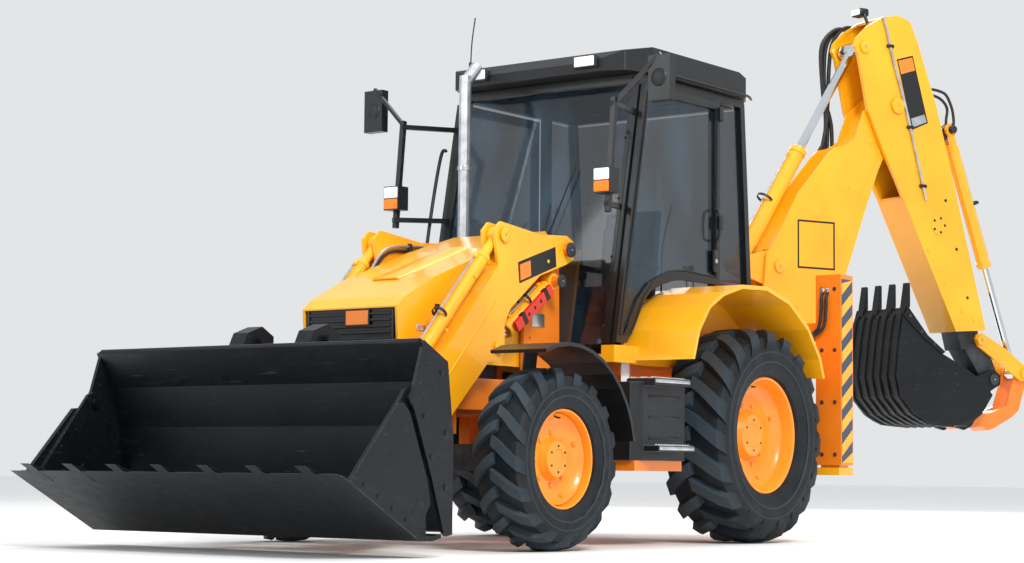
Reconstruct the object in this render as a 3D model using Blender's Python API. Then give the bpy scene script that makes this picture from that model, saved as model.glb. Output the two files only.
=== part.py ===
"""Backhoe loader: sideshift digger behind, clam shovel in front, glazed cab between.

Metres, +Z up, the machine faces -Y, +X is its left side. The rest pose is the parked one:
shovel rolled back just off the ground, digger folded and slewed a little to the left.
"""
import math

import bmesh
import bpy
from mathutils import Matrix, Vector

# ---- driving dimensions ----
HALF_WIDTH = 1.175
WHEELBASE = 2.17
CENTRING_Y = 0.12
FRONT_TYRE_R = 0.50
FRONT_TYRE_W = 0.32
FRONT_RIM_R = 0.275
FRONT_WHEEL_X = 0.80 + FRONT_TYRE_W / 2
REAR_TYRE_R = 0.67
REAR_TYRE_W = 0.45
REAR_RIM_R = 0.365
REAR_WHEEL_X = 0.90
KINGPIN_X = 0.72
PIN_R = 0.030
ARM_X = 0.451
ARM_THICK = 0.106
CAB_FRONT_Y = -1.19
CAB_REAR_Y = 0.46
CAB_FLOOR_Z = 1.08
CAB_TOP_Z = 2.87
ROOF_TOP_Z = 3.03
RAIL_Z0 = 0.78
RAIL_Z1 = 0.96
KINGPOST_Y = 1.36
SLEW_DEG = 22.0
BOOM_HALF = 0.105
DIPPER_HALF = 0.145
PLATE = 0.018
BUCKET_HALF = 0.28
GAP = 0.0003
CLEAR = 0.006

YELLOW = (0.93, 0.50, 0.03, 1.0)
ORANGE = (0.85, 0.26, 0.02, 1.0)
BLACK = (0.02, 0.022, 0.025, 1.0)
STEEL = (0.55, 0.56, 0.58, 1.0)
GLASS = (0.25, 0.40, 0.48, 1.0)
GREY = (0.22, 0.23, 0.24, 1.0)

# ---- loader pins (y, z) ----
ARM_PIVOT = Vector((-1.355, 1.742))
LIFT_BASE = Vector((-1.445, 1.550))
ARM_KNEE = Vector((-1.975, 1.775))
LIFT_EYE = Vector((-2.020, 1.130))
SHOVEL_PIVOT = Vector((-3.200, 0.165))
TILT_ARM = 0.498
TILT_ANGLE = math.radians(71.9)
TILT_EYE = SHOVEL_PIVOT + TILT_ARM * Vector((math.cos(TILT_ANGLE), math.sin(TILT_ANGLE)))
CLAM_PIVOT = Vector((-3.560, 0.785))

# ---- digger pins (reach from the kingpost axis, z) ----
BOOM_FOOT = Vector((0.30, 0.78))
BOOM_HEAD = Vector((1.40, 3.15))
DIPPER_HEAD = Vector((1.093, 3.558))
DIPPER_RAM_BASE = Vector((0.04, 1.90))
BOOM_RAM_BASE = Vector((0.195, 0.96))
BOOM_RAM_EYE = Vector((0.335, 1.90))
SLIDE_FOOT = Vector((2.135, 1.494))
SLIDE_DIR = Vector((0.271, -0.9626))
SLIDE_DEPTH = 0.20
SLIDE_HALF = 0.09
BUCKET_RAM_BASE = Vector((2.02, 3.04))
LEVER_PIVOT = Vector((2.235, 1.450))
LEVER_EYE = Vector((2.680, 1.207))
BUCKET_PIVOT = Vector((2.360, 1.155))
BUCKET_EYE = Vector((2.060, 0.835))


# ---- mesh helpers ----
def new_mesh(name, vertices, faces):
    mesh = bpy.data.meshes.new(name)
    mesh.from_pydata([tuple(v) for v in vertices], [], faces)
    work = bmesh.new()
    work.from_mesh(mesh)
    bmesh.ops.recalc_face_normals(work, faces=work.faces)
    work.to_mesh(mesh)
    work.free()
    return mesh


def solid(name, vertices, faces):
    item = bpy.data.objects.new(name, new_mesh(name, vertices, faces))
    bpy.context.collection.objects.link(item)
    return item


def prism(outline, low, high, turned=None):
    """Extrude a (y, z) outline from x=low to x=high; 'turned' maps points elsewhere."""
    count = len(outline)
    vertices = [Vector((low, p[0], p[1])) for p in outline]
    vertices += [Vector((high, p[0], p[1])) for p in outline]
    if turned is not None:
        vertices = [turned @ v for v in vertices]
    faces = [tuple(range(count)), tuple(range(count, 2 * count))]
    for i in range(count):
        j = (i + 1) % count
        faces.append((i, j, count + j, count + i))
    return solid("piece", vertices, faces)


def plan_prism(outline, low, high):
    """Extrude an (x, y) outline from z=low to z=high."""
    count = len(outline)
    vertices = [Vector((p[0], p[1], low)) for p in outline]
    vertices += [Vector((p[0], p[1], high)) for p in outline]
    faces = [tuple(range(count)), tuple(range(count, 2 * count))]
    for i in range(count):
        j = (i + 1) % count
        faces.append((i, j, count + j, count + i))
    return solid("piece", vertices, faces)


def box(x0, x1, y0, y1, z0, z1):
    return plan_prism([(x0, y0), (x1, y0), (x1, y1), (x0, y1)], z0, z1)


def rod(start, end, radius, sides=12):
    """Round bar between two points, first corner turned the same way for every bar."""
    start = Vector(start)
    end = Vector(end)
    along = (end - start).normalized()
    helper = Vector((0, 0, 1)) if abs(along.z) < 0.9 else Vector((0, 1, 0))
    across = along.cross(helper).normalized()
    other = along.cross(across).normalized()
    vertices = []
    for centre in (start, end):
        for i in range(sides):
            turn = 2 * math.pi * i / sides
            vertices.append(centre + radius * (math.cos(turn) * across + math.sin(turn) * other))
    faces = [tuple(range(sides)), tuple(range(sides, 2 * sides))]
    for i in range(sides):
        j = (i + 1) % sides
        faces.append((i, j, sides + j, sides + i))
    return solid("piece", vertices, faces)


def pin(point, low, high, radius, sides=10):
    return rod((low, point[0], point[1]), (high, point[0], point[1]), radius, sides)


def bore(radius, sides=10):
    """The radius of a hole whose flats clear a turning pin of this radius."""
    return (radius + 0.0004) / math.cos(math.pi / sides)


def bar(start, end, width, depth):
    """Square bar between two points; width is level, depth stands across it."""
    start = Vector(start)
    end = Vector(end)
    along = (end - start).normalized()
    helper = Vector((0, 0, 1)) if abs(along.z) < 0.9 else Vector((0, 1, 0))
    side = along.cross(helper).normalized() * width / 2
    rise = along.cross(side.normalized()).normalized() * depth / 2
    corners = [-side - rise, side - rise, side + rise, -side + rise]
    vertices = [start + c for c in corners] + [end + c for c in corners]
    faces = [(0, 1, 2, 3), (4, 5, 6, 7), (0, 1, 5, 4), (1, 2, 6, 5), (2, 3, 7, 6), (3, 0, 4, 7)]
    return solid("piece", vertices, faces)


def lathe(profile, x_centre, y, z, sides, outward=1.0):
    """Turn a closed (across, radius) profile about a line along X."""
    vertices = []
    rings = []
    for across, radius in profile:
        if radius < 1e-6:
            rings.append([len(vertices)])
            vertices.append(Vector((x_centre + outward * across, y, z)))
            continue
        ring = []
        for i in range(sides):
            turn = 2 * math.pi * i / sides
            ring.append(len(vertices))
            vertices.append(Vector((x_centre + outward * across, y + radius * math.cos(turn),
                                    z + radius * math.sin(turn))))
        rings.append(ring)
    faces = []
    pairs = list(zip(rings, rings[1:] + rings[:1]))
    for first, second in pairs:
        if len(first) == 1 and len(second) == 1:
            continue
        for i in range(sides):
            j = (i + 1) % sides
            if len(first) == 1:
                faces.append((first[0], second[i], second[j]))
            elif len(second) == 1:
                faces.append((first[i], first[j], second[0]))
            else:
                faces.append((first[i], first[j], second[j], second[i]))
    return solid("piece", vertices, faces)


def combine(base, others, operation):
    for other in others:
        step = base.modifiers.new("step", "BOOLEAN")
        step.operation = operation
        step.solver = "EXACT"
        step.object = other
    bpy.context.view_layer.update()
    graph = bpy.context.evaluated_depsgraph_get()
    result = bpy.data.meshes.new_from_object(base.evaluated_get(graph))
    base.modifiers.clear()
    base.data = result
    for other in others:
        bpy.data.objects.remove(other)
    return base


def fuse(base, *others):
    return combine(base, others, "UNION")


def cut(base, *others):
    return combine(base, others, "DIFFERENCE")


def common(base, other):
    return combine(base, [other], "INTERSECT")


def inset(outline, distance):
    """Move every side of a (y, z) outline inwards by the same distance."""
    area = 0.0
    count = len(outline)
    for i in range(count):
        a = outline[i]
        b = outline[(i + 1) % count]
        area += a[0] * b[1] - b[0] * a[1]
    way = 1.0 if area > 0 else -1.0
    result = []
    for i in range(count):
        before = Vector(outline[i]) - Vector(outline[i - 1])
        after = Vector(outline[(i + 1) % count]) - Vector(outline[i])
        n1 = Vector((-before.y, before.x)).normalized() * way
        n2 = Vector((-after.y, after.x)).normalized() * way
        middle = (n1 + n2).normalized()
        result.append(Vector(outline[i]) + middle * distance / max(0.35, middle.dot(n1)))
    return result


def mix(a, b, share):
    return Vector(a) * (1 - share) + Vector(b) * share


# ---- finishing ----
MATERIALS = {}


def material(name, colour, rough=0.45, metal=0.0, see=0.0):
    if name in MATERIALS:
        return MATERIALS[name]
    look = bpy.data.materials.new(name)
    look.use_nodes = True
    shader = look.node_tree.nodes["Principled BSDF"]
    shader.inputs["Base Color"].default_value = colour
    shader.inputs["Roughness"].default_value = rough
    shader.inputs["Metallic"].default_value = metal
    shader.inputs["Transmission Weight"].default_value = see
    look.diffuse_color = colour
    MATERIALS[name] = look
    return look


MACHINE = bpy.data.objects.new("machine_centre", None)
DIGGER = bpy.data.objects.new("kingpost_axis", None)


def name_piece(item, name, colour, origin=None, group=None, rough=0.45, metal=0.0, see=0.0):
    """Name a finished piece, set its origin and hang it on its group."""
    item.name = name
    item.data.name = name
    item.data.materials.clear()
    item.data.materials.append(material(name + "_finish", colour, rough, metal, see))
    if origin is not None:
        origin = Vector(origin)
        item.data.transform(Matrix.Translation(-origin))
        item.location = origin
    item.parent = MACHINE if group is None else group
    for face in item.data.polygons:
        face.use_smooth = True
    item.data.set_sharp_from_angle(angle=math.radians(40.0))
    return item


def mirrored(item):
    """A right-hand copy of a left-hand piece, as its own mesh."""
    other = item.copy()
    other.data = item.data.copy()
    bpy.context.collection.objects.link(other)
    other.data.transform(Matrix.Scale(-1.0, 4, Vector((1, 0, 0))))
    other.data.flip_normals()
    return other


def pair(item, name, colour, origin=None, **look):
    """Name a left-hand piece and its mirrored twin."""
    other = mirrored(item)
    name_piece(item, name + "_left", colour, origin, **look)
    if origin is not None:
        origin = (-origin[0], origin[1], origin[2])
    name_piece(other, name + "_right", colour, origin, **look)


def screen_y(z):
    """Where the sloped windscreen plane stands at a height."""
    return CAB_FRONT_Y + (z - 1.15) * 0.19


def rear_y(z):
    """Where the sloped rear window plane stands at a height."""
    return CAB_REAR_Y - (z - 1.60) * 0.08


# ---- frame and axles ----
def build_frame():
    frame = box(0.24, 0.34, -2.62, 0.80, RAIL_Z0, RAIL_Z1)
    parts = [
        box(-0.34, -0.24, -2.62, 0.80, RAIL_Z0, RAIL_Z1),
        box(-0.36, 0.36, -2.66, -2.60, 0.62, 1.02),
        box(-0.39, 0.39, -1.60, -1.27, RAIL_Z0 - 0.02, RAIL_Z1 + 0.01),
        box(-0.20, -0.145, -2.23, -2.11, 0.5803, 0.66),
        box(0.145, 0.20, -2.23, -2.11, 0.5803, 0.66),
        box(-0.30, 0.30, -2.21, -2.13, 0.64, 0.795),
        box(-0.30, 0.30, -0.06, 0.06, 0.7603, 0.84),
        box(-0.30, 0.30, -0.90, -0.80, RAIL_Z0, RAIL_Z1),
        box(-0.45, 0.45, 0.73, 0.79, 0.60, 1.42),
        box(-1.02, 1.02, 0.785, 0.90, 0.60, 0.75),
        box(-1.02, 1.02, 0.785, 0.90, 1.30, 1.42),
        box(-1.00, 1.00, -1.36, -0.86, 0.44, 0.50),
        box(-0.34, -0.26, -1.30, -0.90, 0.48, 0.80),
        box(0.26, 0.34, -1.30, -0.90, 0.48, 0.80),
    ]
    for x0 in (-0.34, 0.24):
        parts.append(box(x0, x0 + 0.10, -1.12, -1.00, RAIL_Z1 - 0.02, CAB_FLOOR_Z - GAP))
        parts.append(box(x0, x0 + 0.10, 0.20, 0.32, RAIL_Z1 - 0.02, CAB_FLOOR_Z - GAP))
    tower = [(-1.62, 0.78), (-1.275, 0.78), (-1.265, 1.20), (-1.275, 1.78), (-1.31, 1.83),
             (-1.40, 1.83), (-1.50, 1.66), (-1.62, 1.25)]
    for side in (1, -1):
        near = ARM_X - ARM_THICK / 2 - 0.032
        low = min(side * near, side * (near + 0.024))
        high = max(side * near, side * (near + 0.024))
        parts.append(prism(tower, low, high))
        outer = side * (ARM_X + ARM_THICK / 2 + 0.03)
        parts.append(pin(ARM_PIVOT, side * 0.37, outer, 0.035))
        parts.append(pin(LIFT_BASE, side * 0.37, outer, PIN_R))
    fuse(frame, *parts)
    casings = []
    for side in (1, -1):
        x0 = min(side * 0.99, side * HALF_WIDTH)
        x1 = max(side * 0.99, side * HALF_WIDTH)
        casing = box(x0, x1, 0.78, 0.945, 0.49, 1.735)
        casings.append(casing)
    fuse(frame, *casings)
    for side in (1, -1):
        x0 = min(side * 1.008, side * 1.157)
        x1 = max(side * 1.008, side * 1.157)
        cut(frame, box(x0, x1, 0.798, 0.927, 0.40, 1.715))
    name_piece(frame, "main_frame", ORANGE)


def build_stabilisers():
    leg = box(1.014, 1.151, 0.804, 0.921, 0.46, 1.66)
    fuse(leg, plan_prism([(0.98, 0.77), (1.17, 0.77), (1.17, 0.955), (0.98, 0.955)], 0.425, 0.475))
    pair(leg, "stabiliser_leg", YELLOW, origin=(1.0825, 0.8625, 0.45))


def build_axles():
    beam = box(-0.60, 0.60, -2.25, -2.09, 0.43, 0.58)
    fuse(beam, rod((0.0, -2.32, 0.50), (0.0, -2.02, 0.50), 0.125, 16),
         box(0.56, 0.756, -2.22, -2.12, 0.360, 0.398), box(0.56, 0.756, -2.22, -2.12, 0.602, 0.640),
         box(-0.756, -0.56, -2.22, -2.12, 0.360, 0.398), box(-0.756, -0.56, -2.22, -2.12, 0.602, 0.640),
         box(0.555, 0.605, -2.22, -2.12, 0.360, 0.640), box(-0.605, -0.555, -2.22, -2.12, 0.360, 0.640))
    for side in (1, -1):
        cut(beam, rod((side * KINGPIN_X, -WHEELBASE, 0.30), (side * KINGPIN_X, -WHEELBASE, 0.70),
                      bore(PIN_R, 12)))
    name_piece(beam, "front_axle", GREY)
    rear = rod((-0.60, 0, REAR_TYRE_R), (0.60, 0, REAR_TYRE_R), 0.09, 20)
    fuse(rear, rod((-0.17, 0, REAR_TYRE_R), (0.17, 0, REAR_TYRE_R), 0.21, 20),
         rod((-0.884, 0, REAR_TYRE_R), (-0.55, 0, REAR_TYRE_R), 0.13, 20),
         rod((0.55, 0, REAR_TYRE_R), (0.884, 0, REAR_TYRE_R), 0.13, 20))
    cut(rear, box(-0.35, 0.35, -0.30, 0.30, 0.76, 1.0))
    name_piece(rear, "rear_axle", GREY)


def build_knuckles():
    centre_y = -WHEELBASE
    knuckle = box(0.665, 0.775, centre_y - 0.06, centre_y + 0.06, 0.404, 0.596)
    outer = FRONT_TYRE_R + 0.135
    inner = FRONT_TYRE_R + 0.115
    steps = 11
    angles = [math.radians(112.0 - 102.0 * i / (steps - 1)) for i in range(steps)]
    hub = Vector((centre_y, FRONT_TYRE_R))
    arch = [hub + outer * Vector((-math.cos(math.pi - a), math.sin(a))) for a in angles]
    arch += [hub + inner * Vector((-math.cos(math.pi - a), math.sin(a))) for a in reversed(angles)]
    fuse(knuckle, rod((0.77, centre_y, FRONT_TYRE_R), (0.955, centre_y, FRONT_TYRE_R), 0.085, 20),
         rod((KINGPIN_X, centre_y, 0.36), (KINGPIN_X, centre_y, 0.64), PIN_R),
         prism(arch, 0.75, 1.13))
    fuse(knuckle, prism([(centre_y - 0.05, 0.58), (centre_y + 0.059, 0.58), (centre_y + 0.15, 1.10),
                         (centre_y + 0.03, 1.122)], 0.7822, 0.7905),
         box(0.74, 0.7905, centre_y - 0.05, centre_y + 0.055, 0.560, 0.594))
    pair(knuckle, "steering_knuckle", BLACK, origin=(KINGPIN_X, centre_y, FRONT_TYRE_R))


def tyre_profile(radius, width, bead):
    half = width / 2
    wall = radius - bead
    right = [(0.78 * half, bead), (0.97 * half, bead + 0.22 * wall), (half, bead + 0.62 * wall),
             (0.88 * half, bead + 0.90 * wall), (0.45 * half, radius)]
    return [(-a, r) for a, r in right] + [(a, r) for a, r in reversed(right)]


def rim_profile(radius, half, hub_face, disc_at):
    return [(hub_face, 0.0), (hub_face, 0.66 * radius), (disc_at + 0.03, 0.88 * radius),
            (-half, 0.92 * radius), (-half, radius), (half, radius), (half, 0.955 * radius),
            (disc_at + 0.055, 0.89 * radius),
            (disc_at + 0.02, 0.68 * radius), (disc_at + 0.02, 0.42 * radius),
            (disc_at + 0.07, 0.34 * radius), (disc_at + 0.07, 0.0)]


def build_wheels():
    sets = (("front", FRONT_TYRE_R, FRONT_TYRE_W, FRONT_RIM_R, FRONT_WHEEL_X, -WHEELBASE),
            ("rear", REAR_TYRE_R, REAR_TYRE_W, REAR_RIM_R, REAR_WHEEL_X, 0.0))
    for place, radius, width, rim, x, y in sets:
        sides = 24
        half = 0.76 * width / 2
        tyre = lathe(tyre_profile(radius, width, rim + 0.0008), x, y, radius, sides)
        wheel = lathe(rim_profile(rim, half, 0.0, 0.01), x, y, radius, sides)
        pair(tyre, place + "_tyre", BLACK, origin=(x, y, radius), rough=0.8)
        pair(wheel, place + "_rim", ORANGE, origin=(x, y, radius))


# ---- engine, bonnet, tanks ----
def build_front_body():
    engine = box(-0.225, 0.225, -2.50, -1.66, 0.80, 1.24)
    name_piece(engine, "engine_block", GREY)
    side = [(-2.70, 1.04), (-1.30, 1.04), (-1.30, 1.80), (-1.36, 1.865), (-1.80, 1.735), (-2.40, 1.515),
            (-2.66, 1.385), (-2.725, 1.33)]
    hood = prism(side, -0.350, 0.350)
    hollow = [(-2.80, 0.90), (-1.20, 0.90), (-1.20, 1.785), (-1.375, 1.838), (-1.80, 1.711),
              (-2.40, 1.49), (-2.66, 1.355), (-2.80, 1.28)]
    cut(hood, prism(hollow, -0.332, 0.332))
    name_piece(hood, "bonnet", YELLOW, origin=(0.0, -1.315, 1.80))
    grille = prism([(-2.700, 1.022), (-2.662, 1.022), (-2.662, 1.335), (-2.712, 1.322)], -0.326, 0.326)
    name_piece(grille, "front_grille", BLACK)
    stack_y = -1.222
    stack = rod((-0.385, stack_y, 1.36), (-0.385, stack_y, 2.90), 0.038)
    fuse(stack, rod((-0.385, stack_y - 0.004, 2.855), (-0.385, stack_y + 0.115, 2.975), 0.039, 14),
         rod((-0.15, stack_y, 1.36), (-0.40, stack_y, 1.39), 0.034, 10),
         bar((-0.17, stack_y + 0.02, 1.352), (-0.17, -1.71, 1.282), 0.060, 0.058),
         box(-0.21, -0.13, -1.76, -1.66, 1.2403, 1.30))
    name_piece(stack, "exhaust_stack", STEEL, rough=0.35, metal=0.8)


def build_tanks():
    for side, name in ((1, "fuel_tank"), (-1, "hydraulic_tank")):
        tank = plan_prism([(0.46, -1.38), (0.98, -1.38), (1.02, -1.30), (1.02, -0.86), (0.98, -0.80),
                           (0.46, -0.80)], 0.5003, 0.955)
        fuse(tank, box(0.90, 1.13, -1.30, -0.92, 0.555, 0.585),
             box(0.90, 1.10, -1.30, -0.92, 0.935, 0.975))
        if side < 0:
            other = mirrored(tank)
            bpy.data.objects.remove(tank)
            tank = other
        name_piece(tank, name, BLACK)


# ---- cab ----
DOOR_EDGE = [(-1.165, 1.20), (-1.05, 1.20), (-1.00, 1.27), (-0.905, 1.43), (-0.795, 1.53), (-0.68, 1.575),
             (-0.55, 1.61), (-0.40, 1.625), (-0.005, 1.625), (-0.005, 2.80), (-0.862, 2.80)]
FENDER_TOP = [(-0.96, 1.10), (-0.90, 1.28), (-0.78, 1.43), (-0.62, 1.52), (-0.40, 1.58), (-0.10, 1.59),
              (0.18, 1.52), (0.42, 1.37), (0.58, 1.18), (0.63, 1.05)]
FENDER_UNDER = [(0.605, 1.045), (0.555, 1.167), (0.405, 1.348), (0.172, 1.496), (-0.102, 1.565),
                (-0.395, 1.555), (-0.608, 1.497), (-0.763, 1.413), (-0.878, 1.270), (-0.937, 1.10)]
WALL_EDGE = [(-1.12, 1.11), (-1.12, 1.185), (-1.04, 1.185), (-0.965, 1.20), (-0.86, 1.34), (-0.77, 1.43),
             (-0.60, 1.52), (-0.40, 1.575), (-0.02, 1.585), (0.02, 1.605), (0.45, 1.605), (0.45, 1.11)]
QUARTER_PANEL = [(-0.02, 1.56), (-0.02, 1.605), (0.45, 1.605), (0.45, 1.32), (0.36, 1.38), (0.17, 1.50)]


def both_sides(low, high):
    """The x limits of a piece and of its twin on the other side."""
    return ((low, high), (-high, -low))


def build_cab_base():
    low_half = REAR_WHEEL_X - REAR_TYRE_W / 2 - 0.020
    base = box(-low_half, low_half, CAB_FRONT_Y, CAB_REAR_Y, CAB_FLOOR_Z, CAB_FLOOR_Z + 0.05)
    parts = [box(-low_half, low_half, CAB_REAR_Y - 0.03, CAB_REAR_Y, 1.10, 1.605),
             box(-0.694, 0.694, CAB_REAR_Y - 0.032, CAB_REAR_Y - 0.001, 1.32, 1.6045)]
    lean = [(screen_y(1.12) + 0.03, 1.12), (screen_y(1.12) + 0.06, 1.12),
            (screen_y(1.78) + 0.06, 1.78), (screen_y(1.78) + 0.03, 1.78)]
    parts.append(prism(lean, -0.3690, 0.3690))
    for x0, x1 in both_sides(low_half - 0.025, low_half - 0.0005):
        parts.append(prism(WALL_EDGE, x0, x1))
    for x0, x1 in both_sides(low_half - 0.015, 1.14):
        parts.append(prism(FENDER_TOP + FENDER_UNDER, x0, x1))
    for x0, x1 in both_sides(low_half - 0.012, 0.735):
        parts.append(box(x0, x1, CAB_FRONT_Y + 0.001, -0.93, CAB_FLOOR_Z + 0.001, 1.183))
    for x0, x1 in both_sides(0.664, 0.6935):
        parts.append(prism(QUARTER_PANEL, x0, x1))
    fuse(base, *parts)
    name_piece(base, "cab_base", YELLOW)


def build_cab_frame():
    top = CAB_TOP_Z - 0.03
    floor = 1.20
    low = Vector((0.666, screen_y(floor) + 0.03, floor))
    high = Vector((0.666, screen_y(top) + 0.03, top))
    frame = bar((-0.69, high.y, top), (0.69, high.y, top), 0.05, 0.05)
    parts = [bar((-0.69, rear_y(top) - 0.02, top), (0.69, rear_y(top) - 0.02, top), 0.05, 0.05)]
    cheek_z = 1.606
    for s in (1, -1):
        flip = Matrix.Diagonal((s, 1.0, 1.0)).to_3x3()
        parts.append(bar(flip @ low, flip @ high, 0.056, 0.06))
        parts.append(bar((s * 0.668, 0.03, cheek_z), (s * 0.668, 0.03, top), 0.052, 0.06))
        parts.append(bar((s * 0.668, rear_y(cheek_z) - 0.03, cheek_z + 0.010),
                         (s * 0.668, rear_y(top) - 0.02, top), 0.052, 0.05))
        parts.append(bar((s * 0.668, high.y - 0.02, top), (s * 0.668, rear_y(top), top), 0.052, 0.0505))
        parts.append(bar((s * 0.668, 0.01, cheek_z + 0.02),
                         (s * 0.668, rear_y(cheek_z) - 0.01, cheek_z + 0.02),
                         0.052, 0.04))
    fuse(frame, *parts)
    arms = []
    for s in (1, -1):
        y_top = screen_y(2.62)
        y_low = screen_y(2.02)
        arms.append(bar((s * 0.680, y_top, 2.62), (s * 0.815, y_top - 0.42, 2.60), 0.030, 0.030))
        arms.append(bar((s * 0.680, y_low, 2.02), (s * 0.815, y_low - 0.37, 2.00), 0.030, 0.0302))
        arms.append(bar((s * 0.812, y_top - 0.40, 2.64), (s * 0.812, y_low - 0.35, 1.95), 0.031, 0.0305))
        arms.append(bar((s * 0.812, y_top - 0.395, 2.61), (s * 1.10, -1.26, 2.88), 0.022, 0.0222))
        x0 = min(s * 1.025, s * HALF_WIDTH)
        x1 = max(s * 1.025, s * HALF_WIDTH)
        arms.append(box(x0, x1, -1.275, -1.215, 2.60, 2.87))
        x0 = min(s * 0.745, s * 0.865)
        x1 = max(s * 0.745, s * 0.865)
        arms.append(box(x0, x1, -1.43, -1.335, 2.06, 2.21))
    fuse(frame, *arms)
    name_piece(frame, "cab_frame", BLACK)


def build_cab_roof():
    side = [(-1.03, 2.8705), (-1.05, 2.93), (-0.98, 2.995), (-0.80, ROOF_TOP_Z), (0.22, ROOF_TOP_Z),
            (0.42, 2.965), (0.47, 2.90), (0.46, 2.8705)]
    roof = prism(side, -0.76, 0.76)
    plan = [(-0.745, -0.80), (-0.66, -0.98), (-0.45, -1.05), (0.45, -1.05), (0.66, -0.98), (0.745, -0.80),
            (0.745, 0.30), (0.66, 0.44), (0.45, 0.47), (-0.45, 0.47), (-0.66, 0.44), (-0.745, 0.30)]
    common(roof, plan_prism(plan, 2.80, 3.10))
    cut(roof, box(-0.60, 0.60, -0.80, 0.28, 2.80, 2.975))
    name_piece(roof, "cab_roof", BLACK)


def build_cab_glass():
    low = 1.19
    high = 2.80
    pane = [(screen_y(low) + 0.015, low), (screen_y(low) + 0.021, low),
            (screen_y(high) + 0.021, high), (screen_y(high) + 0.015, high)]
    screen = prism(pane, -0.6372, 0.6372)
    name_piece(screen, "windscreen", GLASS, rough=0.05, see=0.8)
    low = 1.648
    pane = [(rear_y(low) - 0.026, low), (rear_y(low) - 0.020, low),
            (rear_y(high) - 0.020, high), (rear_y(high) - 0.026, high)]
    rear = prism(pane, -0.6412, 0.6412)
    name_piece(rear, "rear_window", GLASS, rough=0.05, see=0.8)
    quarter = prism([(0.0612, 1.6532), (rear_y(1.66) - 0.0590, 1.6532), (rear_y(2.80) - 0.0500, 2.80),
                     (0.0612, 2.80)], 0.665, 0.671)
    pair(quarter, "quarter_window", GLASS, rough=0.05, see=0.8)


def build_doors():
    door = prism(DOOR_EDGE, 0.700, 0.735)
    window = inset(DOOR_EDGE, 0.055)
    cut(door, prism(window, 0.60, 0.80))
    fuse(door, box(0.728, 0.762, -0.045, -0.006, 1.98, 2.06), box(0.728, 0.762, -0.045, -0.006, 2.68, 2.76))
    pair(door, "door", BLACK, origin=(0.748, 0.018, 2.0))
    pane = prism(inset(DOOR_EDGE, 0.0553), 0.714, 0.720)
    pair(pane, "door_glass", GLASS, origin=(0.748, 0.018, 2.0), rough=0.05, see=0.8)


def build_cab_inside():
    console = prism([(-1.10, 1.1303), (-0.86, 1.1303), (-0.90, 1.50), (-0.96, 1.56), (-1.02, 1.56)],
                    -0.16, 0.16)
    fuse(console, rod((0, -0.99, 1.50), (0, -0.82, 1.80), 0.030),
         rod((0, -0.833, 1.777), (0, -0.815, 1.809), 0.175, 20))
    name_piece(console, "steering_console", GREY)
    seat_base = rod((0, -0.22, 1.1303), (0, -0.22, 1.50), 0.13, 20)
    fuse(seat_base, box(-0.20, 0.20, -0.40, -0.04, 1.44, 1.50))
    name_piece(seat_base, "seat_base", GREY, origin=(0, -0.22, 1.1303))
    seat = box(-0.25, 0.25, -0.47, 0.03, 1.5003, 1.62)
    fuse(seat, prism([(-0.04, 1.56), (0.06, 1.56), (0.13, 2.15), (0.05, 2.17)], -0.24, 0.24))
    name_piece(seat, "seat", (0.05, 0.05, 0.06, 1.0), origin=(0, -0.22, 1.1303))


# ---- loader ----
RAM_WAY = (TILT_EYE - ARM_KNEE).normalized()
RAM_UNDER = Vector((-RAM_WAY.y, RAM_WAY.x))


def along_ram(distance, under):
    return ARM_KNEE + RAM_WAY * distance + RAM_UNDER * under


def build_loader_arms():
    plate = [
        (-1.285, 1.69), (-1.27, 1.742), (-1.29, 1.80), (-1.355, 1.828), (-1.62, 1.812), (-1.93, 1.845),
        (-2.00, 1.852), (-2.055, 1.80), (-2.045, 1.735), tuple(along_ram(0.16, 0.088)),
        tuple(along_ram(0.60, 0.088)), tuple(along_ram(1.25, 0.100)),
        (-3.240, 0.204), (-3.255, 0.165), (-3.239, 0.126), (-3.200, 0.110), (-3.14, 0.125), (-2.70, 0.45),
        (-2.38, 0.78), (-2.10, 1.045), (-2.01, 1.055), (-1.955, 1.105), (-1.955, 1.27), (-1.90, 1.36),
        (-1.62, 1.57), (-1.36, 1.655)]
    half = ARM_THICK / 2
    arms = prism(plate, ARM_X - half, ARM_X + half)
    ram_slot = [along_ram(-0.085, 0.078), along_ram(0.50, 0.078), along_ram(0.50, -0.25),
                along_ram(-0.085, -0.25)]
    cut(arms, prism(ram_slot, ARM_X - 0.034, ARM_X + 0.034))
    lift_slot = [(-2.09, 1.115), (-2.06, 1.06), (-2.00, 1.00), (-1.80, 0.95), (-1.20, 1.40), (-1.20, 1.60),
                 (-1.40, 1.66), (-1.62, 1.625), (-1.92, 1.42), (-2.09, 1.24)]
    cut(arms, prism(lift_slot, ARM_X - 0.034, ARM_X + 0.034))
    cut(arms, pin(ARM_PIVOT, 0.30, 0.60, bore(0.035)), pin(LIFT_BASE, 0.30, 0.60, 0.045))
    fuse(arms, pin(ARM_KNEE, ARM_X - half + 0.002, ARM_X + half + 0.012, PIN_R),
         pin(LIFT_EYE, ARM_X + half - 0.010, ARM_X + half + 0.012, PIN_R),
         pin(SHOVEL_PIVOT, ARM_X - half - 0.030, ARM_X + half + 0.030, PIN_R))
    other = mirrored(arms)
    fuse(arms, other, rod((-ARM_X, -2.86, 0.545), (ARM_X, -2.86, 0.545), 0.070, 20))
    name_piece(arms, "loader_arms", YELLOW, origin=(0, ARM_PIVOT.x, ARM_PIVOT.y))


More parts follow.
